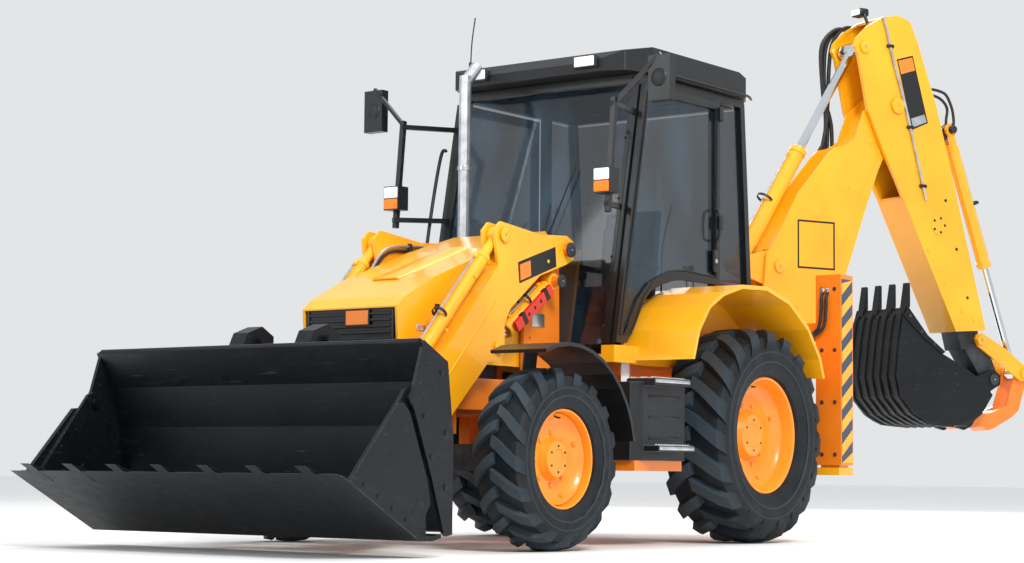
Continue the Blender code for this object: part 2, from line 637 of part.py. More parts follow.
def ram(name, x, base, eye, barrel_r, rod_r, barrel_start, barrel_end, rod_start, pin_r, eye_half,
        cross_half, group=None, both=False, clevis=0.0):
    """A cylinder as two pieces: barrel with its base eye, rod with its plain cross head."""
    base = Vector(base)
    eye = Vector(eye)
    way = (eye - base).normalized()
    length = (eye - base).length

    def at(distance):
        spot = base + way * distance
        return (x, spot.x, spot.y)

    boss = pin_r * 1.75
    barrel = rod(at(barrel_start), at(barrel_end), barrel_r)
    fuse(barrel, pin(base, x - eye_half, x + eye_half, boss),
         rod(at(boss * 0.5), at(barrel_start + 0.02), min(barrel_r - 0.002, eye_half)))
    if clevis > 0.0:
        cut(barrel, pin(base, x - clevis, x + clevis, barrel_start - 0.012, 16))
    cut(barrel, rod(at(barrel_start + 0.012), at(barrel_end + 0.05), rod_r + 0.002),
        pin(base, x - 0.2, x + 0.2, bore(pin_r)))
    stem = rod(at(rod_start), at(length - boss * 0.5), rod_r)
    fuse(stem, pin(eye, x - cross_half, x + cross_half, boss))
    base_at = (x, base.x, base.y)
    eye_at = (x, eye.x, eye.y)
    if both:
        pair(barrel, name + "_barrel", YELLOW, origin=base_at)
        pair(stem, name + "_rod", STEEL, origin=eye_at, rough=0.15, metal=1.0)
    else:
        name_piece(barrel, name + "_barrel", YELLOW, origin=base_at, group=group)
        name_piece(stem, name + "_rod", STEEL, origin=eye_at, group=group, rough=0.15, metal=1.0)


def build_loader_rams():
    lift = (LIFT_EYE - LIFT_BASE).length
    ram("lift_ram", ARM_X, LIFT_BASE, LIFT_EYE, 0.045, 0.027, 0.06, 0.76 * lift, 0.12, PIN_R, 0.028, 0.028,
        both=True)
    tilt = (TILT_EYE - ARM_KNEE).length
    ram("tilt_ram", ARM_X, ARM_KNEE, TILT_EYE, 0.042, 0.025, 0.17, 0.80 * tilt, 0.24, PIN_R, 0.028, 0.052,
        both=True)


LUG_NEAR = ARM_THICK / 2 + CLEAR
LUG_FAR = LUG_NEAR + 0.027
MOULD_BACK = [(-3.300, 0.125), (-3.300, 0.40), (-3.325, 0.66), (-3.385, 0.88), (-3.490, 1.075)]
MOULD_FRONT = [(-3.512, 1.062), (-3.408, 0.875), (-3.347, 0.655), (-3.322, 0.40), (-3.322, 0.130)]
HEEL = Vector((-3.505, 0.085))
BLADE = Vector((-4.085, 0.400))


def build_shovel():
    back = prism(MOULD_BACK + MOULD_FRONT, -HALF_WIDTH, HALF_WIDTH)
    wing = [(-3.490, 1.075), (-3.300, 0.975), (-3.250, 0.60), (-3.250, 0.113), (-3.298, 0.105),
            (-3.318, 0.120), (-3.420, 0.40), (-3.555, 0.72), (-3.600, 0.785), (-3.560, 0.85)]
    parts = []
    for side in (1, -1):
        x0 = min(side * (HALF_WIDTH - 0.020), side * HALF_WIDTH)
        x1 = max(side * (HALF_WIDTH - 0.020), side * HALF_WIDTH)
        parts.append(prism(wing, x0, x1))
        lug = [(-3.31, 0.125), (-3.20, 0.108), (-3.148, 0.135), (-3.130, 0.20), (-3.095, 0.34),
               tuple(TILT_EYE + Vector((0.055, -0.02))),
               tuple(TILT_EYE + Vector((0.040, 0.045))), tuple(TILT_EYE + Vector((-0.02, 0.055))),
               (-3.34, 0.80), (-3.30, 0.50)]
        for near in (ARM_X - LUG_FAR, ARM_X + LUG_NEAR):
            x0 = min(side * near, side * (near + LUG_FAR - LUG_NEAR))
            x1 = max(side * near, side * (near + LUG_FAR - LUG_NEAR))
            parts.append(prism(lug, x0, x1))
        parts.append(prism([(-3.33, 0.72), (-3.20, 0.88), (-3.13, 1.03), (-3.13, 1.15), (-3.22, 1.20),
                            (-3.33, 1.16), (-3.40, 1.02), (-3.42, 0.90)],
                           side * 0.24 - 0.055, side * 0.24 + 0.055))
        parts.append(pin((-3.24, 1.11), side * 0.24 - 0.10, side * 0.24 + 0.10, 0.028))
    fuse(back, *parts)
    inner = ARM_X - ARM_THICK / 2 - 0.10
    outer = ARM_X + ARM_THICK / 2 + 0.10
    for side in (1, -1):
        x0 = min(side * inner, side * outer)
        x1 = max(side * inner, side * outer)
        cut(back, pin(SHOVEL_PIVOT, x0, x1, bore(PIN_R)))
        for near in (ARM_X - LUG_FAR - 0.012, ARM_X + LUG_FAR - 0.010):
            x0 = min(side * near, side * (near + 0.022))
            x1 = max(side * near, side * (near + 0.022))
            fuse(back, pin(TILT_EYE, x0, x1, PIN_R))
        knob0 = min(side * (HALF_WIDTH - 0.070), side * (HALF_WIDTH - 0.010))
        knob1 = max(side * (HALF_WIDTH - 0.070), side * (HALF_WIDTH - 0.010))
        fuse(back, pin(CLAM_PIVOT, knob0, knob1, 0.024))
    name_piece(back, "shovel_mouldboard", BLACK, origin=(0, SHOVEL_PIVOT.x, SHOVEL_PIVOT.y))

    way = (BLADE - HEEL).normalized()
    rise = Vector((-way.y, way.x))
    if rise.y < 0:
        rise = -rise
    floor = [HEEL + Vector((0.168, 0.033)), HEEL + Vector((0.168, 0.012)),
             HEEL + Vector((0.10, -0.002)),
             HEEL, BLADE + way * 0.02, HEEL + way * 0.50 + rise * 0.024, HEEL + way * 0.02 + rise * 0.022,
             HEEL + Vector((0.10, 0.021))]
    jaw = prism(floor, -HALF_WIDTH + 0.001, HALF_WIDTH - 0.001)
    cheek = [HEEL + way * 0.02 + rise * 0.005, BLADE - way * 0.12 + rise * 0.006, (-3.605, 0.830),
             (-3.560, 0.848), (-3.515, 0.830), (-3.495, 0.785), (-3.440, 0.400), (-3.425, 0.100)]
    flush = [HEEL + way * 0.03 + rise * 0.004, BLADE - way * 0.06 + rise * 0.005,
             (-3.690, 0.752), (-3.640, 0.756), (-3.592, 0.712), (-3.452, 0.385), (-3.425, 0.270)]
    parts = []
    for x0, x1 in both_sides(HALF_WIDTH - 0.044, HALF_WIDTH - 0.0252):
        parts.append(prism(cheek, x0, x1))
    for x0, x1 in both_sides(HALF_WIDTH - 0.0265, HALF_WIDTH - 0.0002):
        parts.append(prism(flush, x0, x1))
    for i in range(7):
        x = -0.98 + i * 1.96 / 6
        tooth = [BLADE - way * 0.10 - rise * 0.002, BLADE + way * 0.10, BLADE - way * 0.02 + rise * 0.028,
                 BLADE - way * 0.10 + rise * 0.030]
        parts.append(prism(tooth, x - 0.035, x + 0.035))
    fuse(jaw, *parts)
    for x0, x1 in both_sides(HALF_WIDTH - 0.10, HALF_WIDTH + 0.05):
        cut(jaw, pin(CLAM_PIVOT, x0, x1, bore(0.024)))
    name_piece(jaw, "shovel_clam", BLACK, origin=(0, CLAM_PIVOT.x, CLAM_PIVOT.y))


# ---- digger ----
def build_carriage():
    carriage = box(-0.30, 0.30, 0.906, 0.966, 0.54, 1.48)
    fuse(carriage, box(-0.30, 0.30, 0.806, 0.930, 1.426, 1.48),
         box(-0.30, 0.30, 0.806, 0.930, 0.54, 0.594),
         box(-0.112, 0.112, 0.94, KINGPOST_Y, 0.50, 0.56), box(-0.112, 0.112, 0.94, KINGPOST_Y, 1.20, 1.26),
         rod((0, KINGPOST_Y, 0.50), (0, KINGPOST_Y, 0.56), 0.113, 20),
         rod((0, KINGPOST_Y, 1.20), (0, KINGPOST_Y, 1.26), 0.113, 20))
    cut(carriage, rod((0, KINGPOST_Y, 0.4), (0, KINGPOST_Y, 1.4), 0.0515, 16))
    name_piece(carriage, "sideshift_carriage", ORANGE)


def build_kingpost():
    post = rod((0, 0, 0.566), (0, 0, 1.194), 0.125, 20)
    fuse(post, rod((0, 0, 0.49), (0, 0, 1.27), 0.050),
         prism([(0.0, 0.62), (0.22, 0.66), (0.36, 0.70), (0.385, 0.78), (0.36, 0.86), (0.27, 0.99),
                (0.16, 1.03), (0.0, 1.12)], -0.070, 0.070))
    cut(post, prism([(0.115, 0.895), (0.20, 0.85), (0.31, 0.835), (0.50, 0.80), (0.50, 1.40),
                     (0.115, 1.40)],
                    -0.050, 0.050))
    fuse(post, pin(BOOM_FOOT, -0.125, 0.125, 0.040), pin(BOOM_RAM_BASE, -0.060, 0.060, 0.028))
    name_piece(post, "kingpost", YELLOW, origin=(0, 0, 0), group=DIGGER)


BOOM_REAR = [(0.215, 0.70), (0.29, 0.672), (0.37, 0.70), (0.43, 0.79), (0.62, 1.12), (0.82, 1.53),
             (0.94, 1.87), (1.03, 2.10), (1.115, 2.33), (1.25, 2.66), (1.42, 2.98), (1.505, 3.085),
             (1.518, 3.17),
             (1.472, 3.243), (1.40, 3.268), (1.30, 3.235)]
BOOM_FRONT = [(1.117, 3.092), (1.072, 2.975), (1.036, 2.885), (0.987, 2.845), (0.920, 2.815),
              (0.850, 2.800), (0.790, 2.755), (0.50, 2.43), (0.33, 2.14), (0.22, 1.98), (0.185, 1.60),
              (0.195, 1.22), (0.195, 0.85)]
CORE_FRONT = [(1.20, 3.08), (1.12, 2.95), (1.048, 2.870), (0.777, 2.576), (0.40, 2.17), (0.26, 1.96),
              (0.215, 1.60), (0.21, 1.20), (0.22, 0.88)]


def build_boom():
    core_edge = BOOM_REAR + CORE_FRONT
    boom = prism(core_edge, -BOOM_HALF + 0.004, BOOM_HALF - 0.004)
    cut(boom, prism(inset(core_edge, PLATE), -BOOM_HALF + 0.016, BOOM_HALF - 0.016))
    for x0, x1 in both_sides(BOOM_HALF - 0.018, BOOM_HALF):
        fuse(boom, prism(BOOM_REAR + BOOM_FRONT, x0, x1))
    mouth = [(0.08, 0.60), (0.50, 0.60), (0.52, 0.90), (0.42, 1.02), (0.08, 1.18)]
    ram_way = [(0.05, 0.90), (0.285, 0.90), (0.30, 1.72), (0.35, 2.03), (0.05, 2.03)]
    cut(boom, prism(mouth, -0.078, 0.078), prism(ram_way, -0.056, 0.056))
    lug = [(0.30, 1.74), (0.30, 2.03), (0.16, 1.99), (0.03, 1.958), (-0.012, 1.92), (-0.012, 1.87),
           (0.03, 1.845), (0.12, 1.80)]
    for x0, x1 in both_sides(0.064, 0.084):
        fuse(boom, prism(lug, x0, x1))
    fuse(boom, pin(DIPPER_RAM_BASE, -0.090, 0.090, PIN_R),
         pin(BOOM_RAM_EYE, -BOOM_HALF - 0.006, -BOOM_HALF + 0.010, 0.028),
         pin(BOOM_RAM_EYE, BOOM_HALF - 0.010, BOOM_HALF + 0.006, 0.028))
    cut(boom, pin(BOOM_FOOT, -0.2, 0.2, bore(0.040)), pin(BOOM_HEAD, -0.2, 0.2, bore(0.040)))
    name_piece(boom, "boom", YELLOW, origin=(0, BOOM_FOOT.x, BOOM_FOOT.y), group=DIGGER)


DIPPER_EDGE = [(1.035, 3.50), (1.00, 3.56), (1.02, 3.62), (1.12, 3.715), (1.27, 3.805), (1.42, 3.83),
               (1.53, 3.80), (1.60, 3.66), (1.782, 3.20), (1.92, 2.737), (2.262, 1.522), (1.965, 1.502),
               (1.52, 2.347), (1.39, 2.595), (1.268, 2.808), (1.12, 3.107)]


def slide_point(up, back):
    """A point on the sliding box: 'up' from the outer box's foot, 'back' towards its rear face."""
    rear = Vector((-SLIDE_DIR.y, SLIDE_DIR.x))
    return SLIDE_FOOT - SLIDE_DIR * up + rear * back


def build_dipper():
    dipper = prism(DIPPER_EDGE, -DIPPER_HALF, DIPPER_HALF)
    inner = inset(DIPPER_EDGE, PLATE)
    cut(dipper, prism(inner, -DIPPER_HALF + PLATE, DIPPER_HALF - PLATE))
    fork = [(0.60, 2.50), (1.46, 2.46), (1.50, 2.62), (1.55, 2.90), (1.62, 3.20), (1.52, 3.42),
            (1.30, 3.46),
            (1.27, 3.56), (1.25, 3.90), (0.60, 3.90)]
    cut(dipper, prism(fork, -0.117, 0.117))
    cut(dipper, prism([slide_point(-0.30, -0.117), slide_point(-0.30, 0.106), slide_point(0.10, 0.106),
                       slide_point(0.10, -0.117)], -0.117, 0.117))
    slot = [slide_point(-0.30, 0.05), slide_point(-0.30, 0.30),
            slide_point(1.56, 0.30), slide_point(1.56, 0.05)]
    cut(dipper, prism(slot, -0.036, 0.036))
    cut(dipper, prism([slide_point(-0.30, 0.05), slide_point(-0.30, 0.30), slide_point(0.18, 0.30),
                       slide_point(0.18, 0.05)], -0.123, 0.123))
    fuse(dipper, pin(BOOM_HEAD, -DIPPER_HALF - 0.012, DIPPER_HALF + 0.012, 0.040),
         pin(DIPPER_HEAD, -DIPPER_HALF - 0.008, -DIPPER_HALF + 0.010, PIN_R),
         pin(DIPPER_HEAD, DIPPER_HALF - 0.010, DIPPER_HALF + 0.008, PIN_R))
    name_piece(dipper, "dipper", YELLOW, origin=(0, BOOM_HEAD.x, BOOM_HEAD.y), group=DIGGER)


def build_dipper_slide():
    half = SLIDE_DEPTH / 2
    body = [slide_point(-0.10, -half), slide_point(-0.10, half),
            slide_point(1.50, half), slide_point(1.50, -half)]
    slide = prism(body, -SLIDE_HALF, SLIDE_HALF)
    end = [slide_point(-0.02, -half), slide_point(-0.02, half), slide_point(-0.16, half + 0.06),
           BUCKET_PIVOT + Vector((0.075, 0.03)), BUCKET_PIVOT + Vector((0.065, -0.045)),
           BUCKET_PIVOT + Vector((0.0, -0.075)), BUCKET_PIVOT + Vector((-0.07, -0.035))]
    lug_foot = (BUCKET_RAM_BASE - SLIDE_FOOT).dot(-SLIDE_DIR)
    lug_back = (BUCKET_RAM_BASE - SLIDE_FOOT).dot(Vector((-SLIDE_DIR.y, SLIDE_DIR.x)))
    lug = [slide_point(lug_foot - 0.15, half - 0.01), slide_point(lug_foot - 0.045, lug_back),
           slide_point(lug_foot - 0.03, lug_back + 0.035), slide_point(lug_foot + 0.03, lug_back + 0.035),
           slide_point(lug_foot + 0.045, lug_back), slide_point(lug_foot - 0.03, half - 0.01)]
    fuse(slide, prism(end, -SLIDE_HALF, SLIDE_HALF), prism(lug, -0.022, 0.022),
         pin(BUCKET_RAM_BASE, -0.085, 0.085, PIN_R), pin(LEVER_PIVOT, -0.125, 0.125, PIN_R))
    cut(slide, pin(BUCKET_PIVOT, -0.2, 0.2, bore(PIN_R)))
    name_piece(slide, "dipper_extension", GREY, origin=(0, SLIDE_FOOT.x, SLIDE_FOOT.y), group=DIGGER)


def build_bucket_linkage():
    plate = [LEVER_PIVOT + Vector((-0.05, 0.01)), LEVER_PIVOT + Vector((-0.02, -0.05)),
             mix(LEVER_PIVOT, LEVER_EYE, 0.5) + Vector((-0.02, -0.055)),
             LEVER_EYE + Vector((-0.03, -0.055)), LEVER_EYE + Vector((0.05, -0.035)),
             LEVER_EYE + Vector((0.055, 0.03)), LEVER_EYE + Vector((0.0, 0.065)),
             mix(LEVER_PIVOT, LEVER_EYE, 0.5) + Vector((0.03, 0.065)), LEVER_PIVOT + Vector((0.02, 0.052)),
             LEVER_PIVOT + Vector((-0.035, 0.045))]
    lever = prism(plate, 0.096, 0.118)
    other = prism(plate, -0.118, -0.096)
    brace = mix(LEVER_PIVOT, LEVER_EYE, 0.40)
    fuse(lever, other, pin(LEVER_EYE, -0.124, -0.106, PIN_R), pin(LEVER_EYE, 0.106, 0.124, PIN_R),
         pin(brace, -0.100, 0.100, 0.020))
    cut(lever, pin(LEVER_PIVOT, -0.2, 0.2, bore(PIN_R)))
    name_piece(lever, "tipping_lever", YELLOW, origin=(0, LEVER_PIVOT.x, LEVER_PIVOT.y), group=DIGGER)
    bend = Vector((2.600, 0.960))
    low = Vector((2.330, 0.870))
    shape = [LEVER_EYE + Vector((-0.055, 0.0)), LEVER_EYE + Vector((-0.03, 0.05)),
             LEVER_EYE + Vector((0.04, 0.05)), LEVER_EYE + Vector((0.065, -0.02)),
             bend + Vector((0.055, -0.03)), bend + Vector((-0.02, -0.085)),
             low + Vector((0.06, -0.085)), low + Vector((0.0, -0.10)), low + Vector((-0.05, -0.07)),
             BUCKET_EYE + Vector((0.01, -0.055)), BUCKET_EYE + Vector((-0.05, -0.02)),
             BUCKET_EYE + Vector((-0.045, 0.035)), BUCKET_EYE + Vector((0.01, 0.055)),
             low + Vector((0.03, 0.035)), bend + Vector((-0.07, 0.0))]
    link = prism(shape, -0.078, 0.078)
    cut(link, prism([(2.40, 1.40), (2.40, 0.98), (2.47, 0.70), (2.95, 0.70), (2.95, 1.40)], -0.056, 0.056))
    cut(link, pin(BUCKET_EYE, -0.2, 0.2, bore(PIN_R)))
    name_piece(link, "tipping_link", ORANGE, origin=(0, BUCKET_EYE.x, BUCKET_EYE.y), group=DIGGER)


BUCKET_SIDE = [(1.385, 1.650), (1.330, 1.560), (1.300, 1.40), (1.270, 1.15), (1.306, 1.00), (1.430, 0.875),
               (1.575, 0.812), (1.837, 0.795), (1.95, 0.795), (2.09, 0.885), (2.20, 1.03), (2.10, 1.13),
               (1.919, 1.230), (1.688, 1.330), (1.52, 1.440)]
BUCKET_VOID = [(1.44, 1.80), (1.407, 1.67), (1.354, 1.552), (1.325, 1.40), (1.294, 1.16),
               (1.327, 1.014), (1.441, 0.899), (1.580, 0.836), (1.836, 0.819), (1.94, 0.819),
               (2.06, 0.90), (2.155, 1.035), (2.08, 1.125),
               (2.3, 1.6), (1.9, 1.9)]


def build_digger_bucket():
    bucket = prism(BUCKET_SIDE, -BUCKET_HALF, BUCKET_HALF)
    cut(bucket, prism(BUCKET_VOID, -BUCKET_HALF + 0.018, BUCKET_HALF - 0.018))
    ear = [(1.99, 0.785), (2.06, 0.770), (2.13, 0.80), (2.33, 1.07), (2.425, 1.12), (2.425, 1.19),
           (2.37, 1.225),
           (2.30, 1.215), (2.10, 1.14), (2.17, 1.035), (2.07, 0.91), (1.95, 0.84)]
    parts = [prism(ear, 0.098, 0.124), prism(ear, -0.124, -0.098),
             pin(BUCKET_PIVOT, -0.124, 0.124, PIN_R), pin(BUCKET_EYE, -0.124, 0.124, PIN_R)]
    for i in range(4):
        x = -0.235 + i * 0.47 / 3
        parts.append(prism([(1.342, 1.570), (1.368, 1.66), (1.398, 1.83), (1.412, 1.825), (1.412, 1.66),
                            (1.368, 1.570)],
                           x - 0.030, x + 0.030))
    fuse(bucket, *parts)
    cut(bucket, box(-0.097, 0.097, 1.98, 2.30, 0.60, 0.93))
    cut(bucket, prism([(1.90, 0.60), (2.01, 0.83), (2.045, 0.905), (2.12, 0.955), (2.5, 0.9), (2.5, 0.6)],
                      -0.0975, 0.0975))
    fuse(bucket, pin(BUCKET_EYE, -0.124, 0.124, PIN_R))
    name_piece(bucket, "digger_bucket", BLACK, origin=(0, BUCKET_PIVOT.x, BUCKET_PIVOT.y), group=DIGGER)


def build_digger_rams():
    length = (DIPPER_HEAD - DIPPER_RAM_BASE).length
    ram("dipper_ram", 0.0, DIPPER_RAM_BASE, DIPPER_HEAD, 0.058, 0.032, 0.09, 0.53 * length, 0.77,
        PIN_R, 0.046,
        0.110, group=DIGGER)
    length = (LEVER_EYE - BUCKET_RAM_BASE).length
    ram("bucket_ram", 0.0, BUCKET_RAM_BASE, LEVER_EYE, 0.050, 0.028, 0.125, 0.56 * length, 0.84, PIN_R,
        0.050,
        0.050, group=DIGGER, clevis=0.0275)
    length = (BOOM_RAM_EYE - BOOM_RAM_BASE).length
    ram("boom_ram", 0.0, BOOM_RAM_BASE, BOOM_RAM_EYE, 0.044, 0.027, 0.06, 0.80 * length, 0.12, 0.028, 0.040,
        0.040, group=DIGGER)


def place_groups():
    bpy.context.collection.objects.link(MACHINE)
    bpy.context.collection.objects.link(DIGGER)
    MACHINE.location = (0.0, CENTRING_Y, 0.0)
    DIGGER.parent = MACHINE
    DIGGER.location = (0.0, KINGPOST_Y, 0.0)
    DIGGER.rotation_euler = (0.0, 0.0, -math.radians(SLEW_DEG))


def clear_scene():
    for item in list(bpy.data.objects):
        if item not in (MACHINE, DIGGER):
            bpy.data.objects.remove(item)


clear_scene()
place_groups()
build_frame()
build_stabilisers()
build_axles()
build_knuckles()
build_wheels()
build_front_body()
build_tanks()
build_cab_base()
build_cab_frame()
build_cab_roof()
build_cab_glass()
build_doors()
build_cab_inside()
build_loader_arms()
build_loader_rams()
build_shovel()
build_carriage()
build_kingpost()
build_boom()
build_dipper()
build_dipper_slide()
build_bucket_linkage()
build_digger_bucket()
build_digger_rams()
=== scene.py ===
"""Looks of the backhoe loader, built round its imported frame."""
import math

import bmesh
import bpy
from mathutils import Matrix, Vector


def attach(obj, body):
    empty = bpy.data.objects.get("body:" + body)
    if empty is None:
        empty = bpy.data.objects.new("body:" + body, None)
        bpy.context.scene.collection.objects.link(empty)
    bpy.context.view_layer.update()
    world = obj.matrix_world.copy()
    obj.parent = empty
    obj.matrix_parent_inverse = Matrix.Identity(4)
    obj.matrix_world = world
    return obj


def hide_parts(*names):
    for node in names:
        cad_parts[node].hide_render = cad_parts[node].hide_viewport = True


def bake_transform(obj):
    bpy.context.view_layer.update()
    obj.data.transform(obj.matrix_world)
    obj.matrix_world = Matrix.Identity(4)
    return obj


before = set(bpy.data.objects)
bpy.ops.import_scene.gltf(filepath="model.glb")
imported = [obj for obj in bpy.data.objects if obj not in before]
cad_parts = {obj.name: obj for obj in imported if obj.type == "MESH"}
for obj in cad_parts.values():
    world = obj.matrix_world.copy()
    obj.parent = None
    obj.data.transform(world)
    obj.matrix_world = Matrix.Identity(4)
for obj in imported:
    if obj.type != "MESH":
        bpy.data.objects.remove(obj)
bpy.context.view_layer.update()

# ---- camera ----
PHOTO_WIDTH = 1024    # pixels
FOCAL = 2172.0        # pixels
SENSOR = 36.0         # mm
AZIMUTH = math.radians(37.13)
PITCH = math.radians(4.96)
ROLL = 0.010055
CAMERA_AT = Vector((7.997, -11.667, 0.438))


def add_camera():
    ahead = Vector((-math.sin(AZIMUTH) * math.cos(PITCH), math.cos(AZIMUTH) * math.cos(PITCH),
        math.sin(PITCH)))
    right = Vector((math.cos(AZIMUTH), math.sin(AZIMUTH), 0.0))
    up = right.cross(ahead)
    right_rolled = right * math.cos(ROLL) + up * math.sin(ROLL)
    up_rolled = up * math.cos(ROLL) - right * math.sin(ROLL)
    data = bpy.data.cameras.new("camera")
    data.sensor_width = SENSOR
    data.lens = FOCAL / PHOTO_WIDTH * SENSOR
    data.clip_end = 200.0
    item = bpy.data.objects.new("camera", data)
    bpy.context.collection.objects.link(item)
    turn = Matrix((right_rolled, up_rolled, -ahead)).transposed()
    item.matrix_world = Matrix.Translation(CAMERA_AT) @ turn.to_4x4()
    bpy.context.scene.camera = item


add_camera()


# ---- materials ----
def placed(name, data):
    """A new object holding this data, in the scene."""
    item = bpy.data.objects.new(name, data)
    bpy.context.collection.objects.link(item)
    return item


def ramp_stops(ramp, stops):
    ramp.elements[0].position = stops[0][0]
    ramp.elements[0].color = stops[0][1]
    ramp.elements[1].position = stops[-1][0]
    ramp.elements[1].color = stops[-1][1]
    for place, colour in stops[1:-1]:
        ramp.elements.new(place).color = colour


class Look:
    """A node material built step by step: colours from noise, roughness and bump."""

    def __init__(self, name, rough=0.4, metal=0.0, coat=0.0, sheen=0.0):
        self.material = bpy.data.materials.new(name)
        self.material.use_nodes = True
        self.tree = self.material.node_tree
        self.shader = self.tree.nodes["Principled BSDF"]
        self.shader.inputs["Roughness"].default_value = rough
        self.shader.inputs["Metallic"].default_value = metal
        self.shader.inputs["Coat Weight"].default_value = coat
        self.shader.inputs["Coat Roughness"].default_value = 0.08
        self.shader.inputs["Sheen Weight"].default_value = sheen
        self.place = self.node("ShaderNodeTexCoord").outputs["Object"]

    def node(self, kind):
        return self.tree.nodes.new(kind)

    def link(self, a, b):
        self.tree.links.new(a, b)

    def noise(self, scale, detail=4.0, stretch=None, rough=0.55):
        item = self.node("ShaderNodeTexNoise")
        item.inputs["Scale"].default_value = scale
        item.inputs["Detail"].default_value = detail
        item.inputs["Roughness"].default_value = rough
        source = self.place
        if stretch is not None:
            mapping = self.node("ShaderNodeMapping")
            mapping.inputs["Scale"].default_value = stretch
            self.link(self.place, mapping.inputs["Vector"])
            source = mapping.outputs["Vector"]
        self.link(source, item.inputs["Vector"])
        return item.outputs["Fac"]

    def ramp(self, source, stops):
        item = self.node("ShaderNodeValToRGB")
        ramp_stops(item.color_ramp, stops)
        self.link(source, item.inputs["Fac"])
        return item.outputs["Color"]

    def mix(self, fac, a, b):
        item = self.node("ShaderNodeMix")
        item.data_type = "RGBA"
        self.link(fac, item.inputs["Factor"])
        for value, socket in ((a, item.inputs["A"]), (b, item.inputs["B"])):
            if isinstance(value, tuple):
                socket.default_value = value
            else:
                self.link(value, socket)
        return item.outputs["Result"]

    def edges(self, low, high):
        """White where edges stand out, from the mesh's own curvature."""
        geometry = self.node("ShaderNodeNewGeometry")
        return self.ramp(geometry.outputs["Pointiness"], [(low, (0, 0, 0, 1)),
            (high, (1, 1, 1, 1))])

    def colour(self, source):
        self.link(source, self.shader.inputs["Base Color"])

    def roughness(self, source, low, high):
        span = self.node("ShaderNodeMapRange")
        span.inputs["To Min"].default_value = low
        span.inputs["To Max"].default_value = high
        self.link(source, span.inputs["Value"])
        self.link(span.outputs["Result"], self.shader.inputs["Roughness"])

    def bump(self, source, strength, distance):
        item = self.node("ShaderNodeBump")
        item.inputs["Strength"].default_value = strength
        item.inputs["Distance"].default_value = distance
        self.link(source, item.inputs["Height"])
        self.link(item.outputs["Normal"], self.shader.inputs["Normal"])


def rgb(red, green, blue):
    """A linear colour from 0..255 display values."""
    values = []
    for part in (red, green, blue):
        part = part / 255
        values.append(part / 12.92 if part <= 0.04045 else ((part + 0.055) / 1.055) ** 2.4)
    return (values[0], values[1], values[2], 1.0)


def paint(name, light, dark, worn, rough=0.3, coat=0.5):
    """Sprayed paint: orange peel, cloudy tone, dust and small chips."""
    look = Look(name, rough, 0.0, coat)
    cloud = look.ramp(look.noise(1.7, 5.0), [(0.30, dark), (0.70, light)])
    dust = look.ramp(look.noise(23.0, 6.0), [(0.56, (0, 0, 0, 1)), (0.82, (0.22, 0.22, 0.22, 1))])
    toned = look.mix(dust, cloud, dark)
    chips = look.ramp(look.noise(58.0, 7.0), [(0.70, (0, 0, 0, 1)), (0.76, (0.5, 0.5, 0.5, 1))])
    look.colour(look.mix(chips, toned, worn))
    look.roughness(look.noise(11.0, 5.0), rough - 0.08, rough + 0.16)
    look.bump(look.noise(260.0, 2.0), 0.05, 0.002)
    return look.material


def plain(name, light, dark, rough, metal=0.0, grain=60.0, bump=0.12, coat=0.0, sheen=0.0):
    """Moulded or cast surface: fine grain with an uneven tone."""
    look = Look(name, rough, metal, coat, sheen)
    look.colour(look.ramp(look.noise(grain * 0.12, 6.0), [(0.32, dark), (0.70, light)]))
    look.roughness(look.noise(grain * 0.4, 5.0), max(0.04, rough - 0.08), min(1.0, rough + 0.10))
    look.bump(look.noise(grain * 4, 4.0), bump, 0.003)
    return look.material


YELLOW = paint("yellow_enamel", rgb(253, 186, 22), rgb(250, 166, 16), rgb(214, 120, 20))
ORANGE = paint("orange_enamel", rgb(246, 138, 30), rgb(236, 118, 22), rgb(190, 90, 22))
RIM_ORANGE = paint("wheel_enamel", rgb(252, 158, 34), rgb(244, 140, 26), rgb(168, 74, 18), 0.34,
    0.35)
RED = paint("strut_red", rgb(226, 40, 22), rgb(200, 26, 16), rgb(90, 20, 14))
BLUE = paint("stripe_blue", rgb(34, 58, 84), rgb(26, 46, 70), rgb(90, 100, 110))
BLACK = paint("black_enamel", rgb(17, 20, 23), rgb(9, 11, 13), rgb(48, 53, 58), 0.34, 0.12)
PLASTIC = plain("black_moulding", rgb(19, 23, 27), rgb(10, 12, 15), 0.42, 0.0, 160.0, 0.14)
GREY = plain("cast_iron", rgb(62, 66, 70), rgb(34, 37, 41), 0.6, 0.2, 90.0, 0.35)
GREASED = plain("greased_steel", rgb(74, 78, 82), rgb(40, 42, 45), 0.38, 0.5, 50.0, 0.2)
ALLOY = plain("bright_alloy", rgb(216, 220, 224), rgb(176, 180, 186), 0.3, 0.85, 120.0, 0.12)
HOSE = plain("hose_rubber", rgb(34, 38, 42), rgb(20, 22, 25), 0.55, 0.0, 240.0, 0.3)
CHARCOAL = plain("interior_trim", rgb(44, 50, 56), rgb(26, 30, 34), 0.62, 0.0, 220.0, 0.3)


def chrome():
    look = Look("chromed_rod", 0.12, 1.0)
    look.colour(look.ramp(look.noise(5.0, 4.0), [(0.3, rgb(206, 213, 220)),
        (0.7, rgb(222, 227, 232))]))
    look.roughness(look.noise(60.0, 3.0), 0.07, 0.18)
    look.bump(look.noise(420.0, 2.0), 0.03, 0.001)
    return look.material


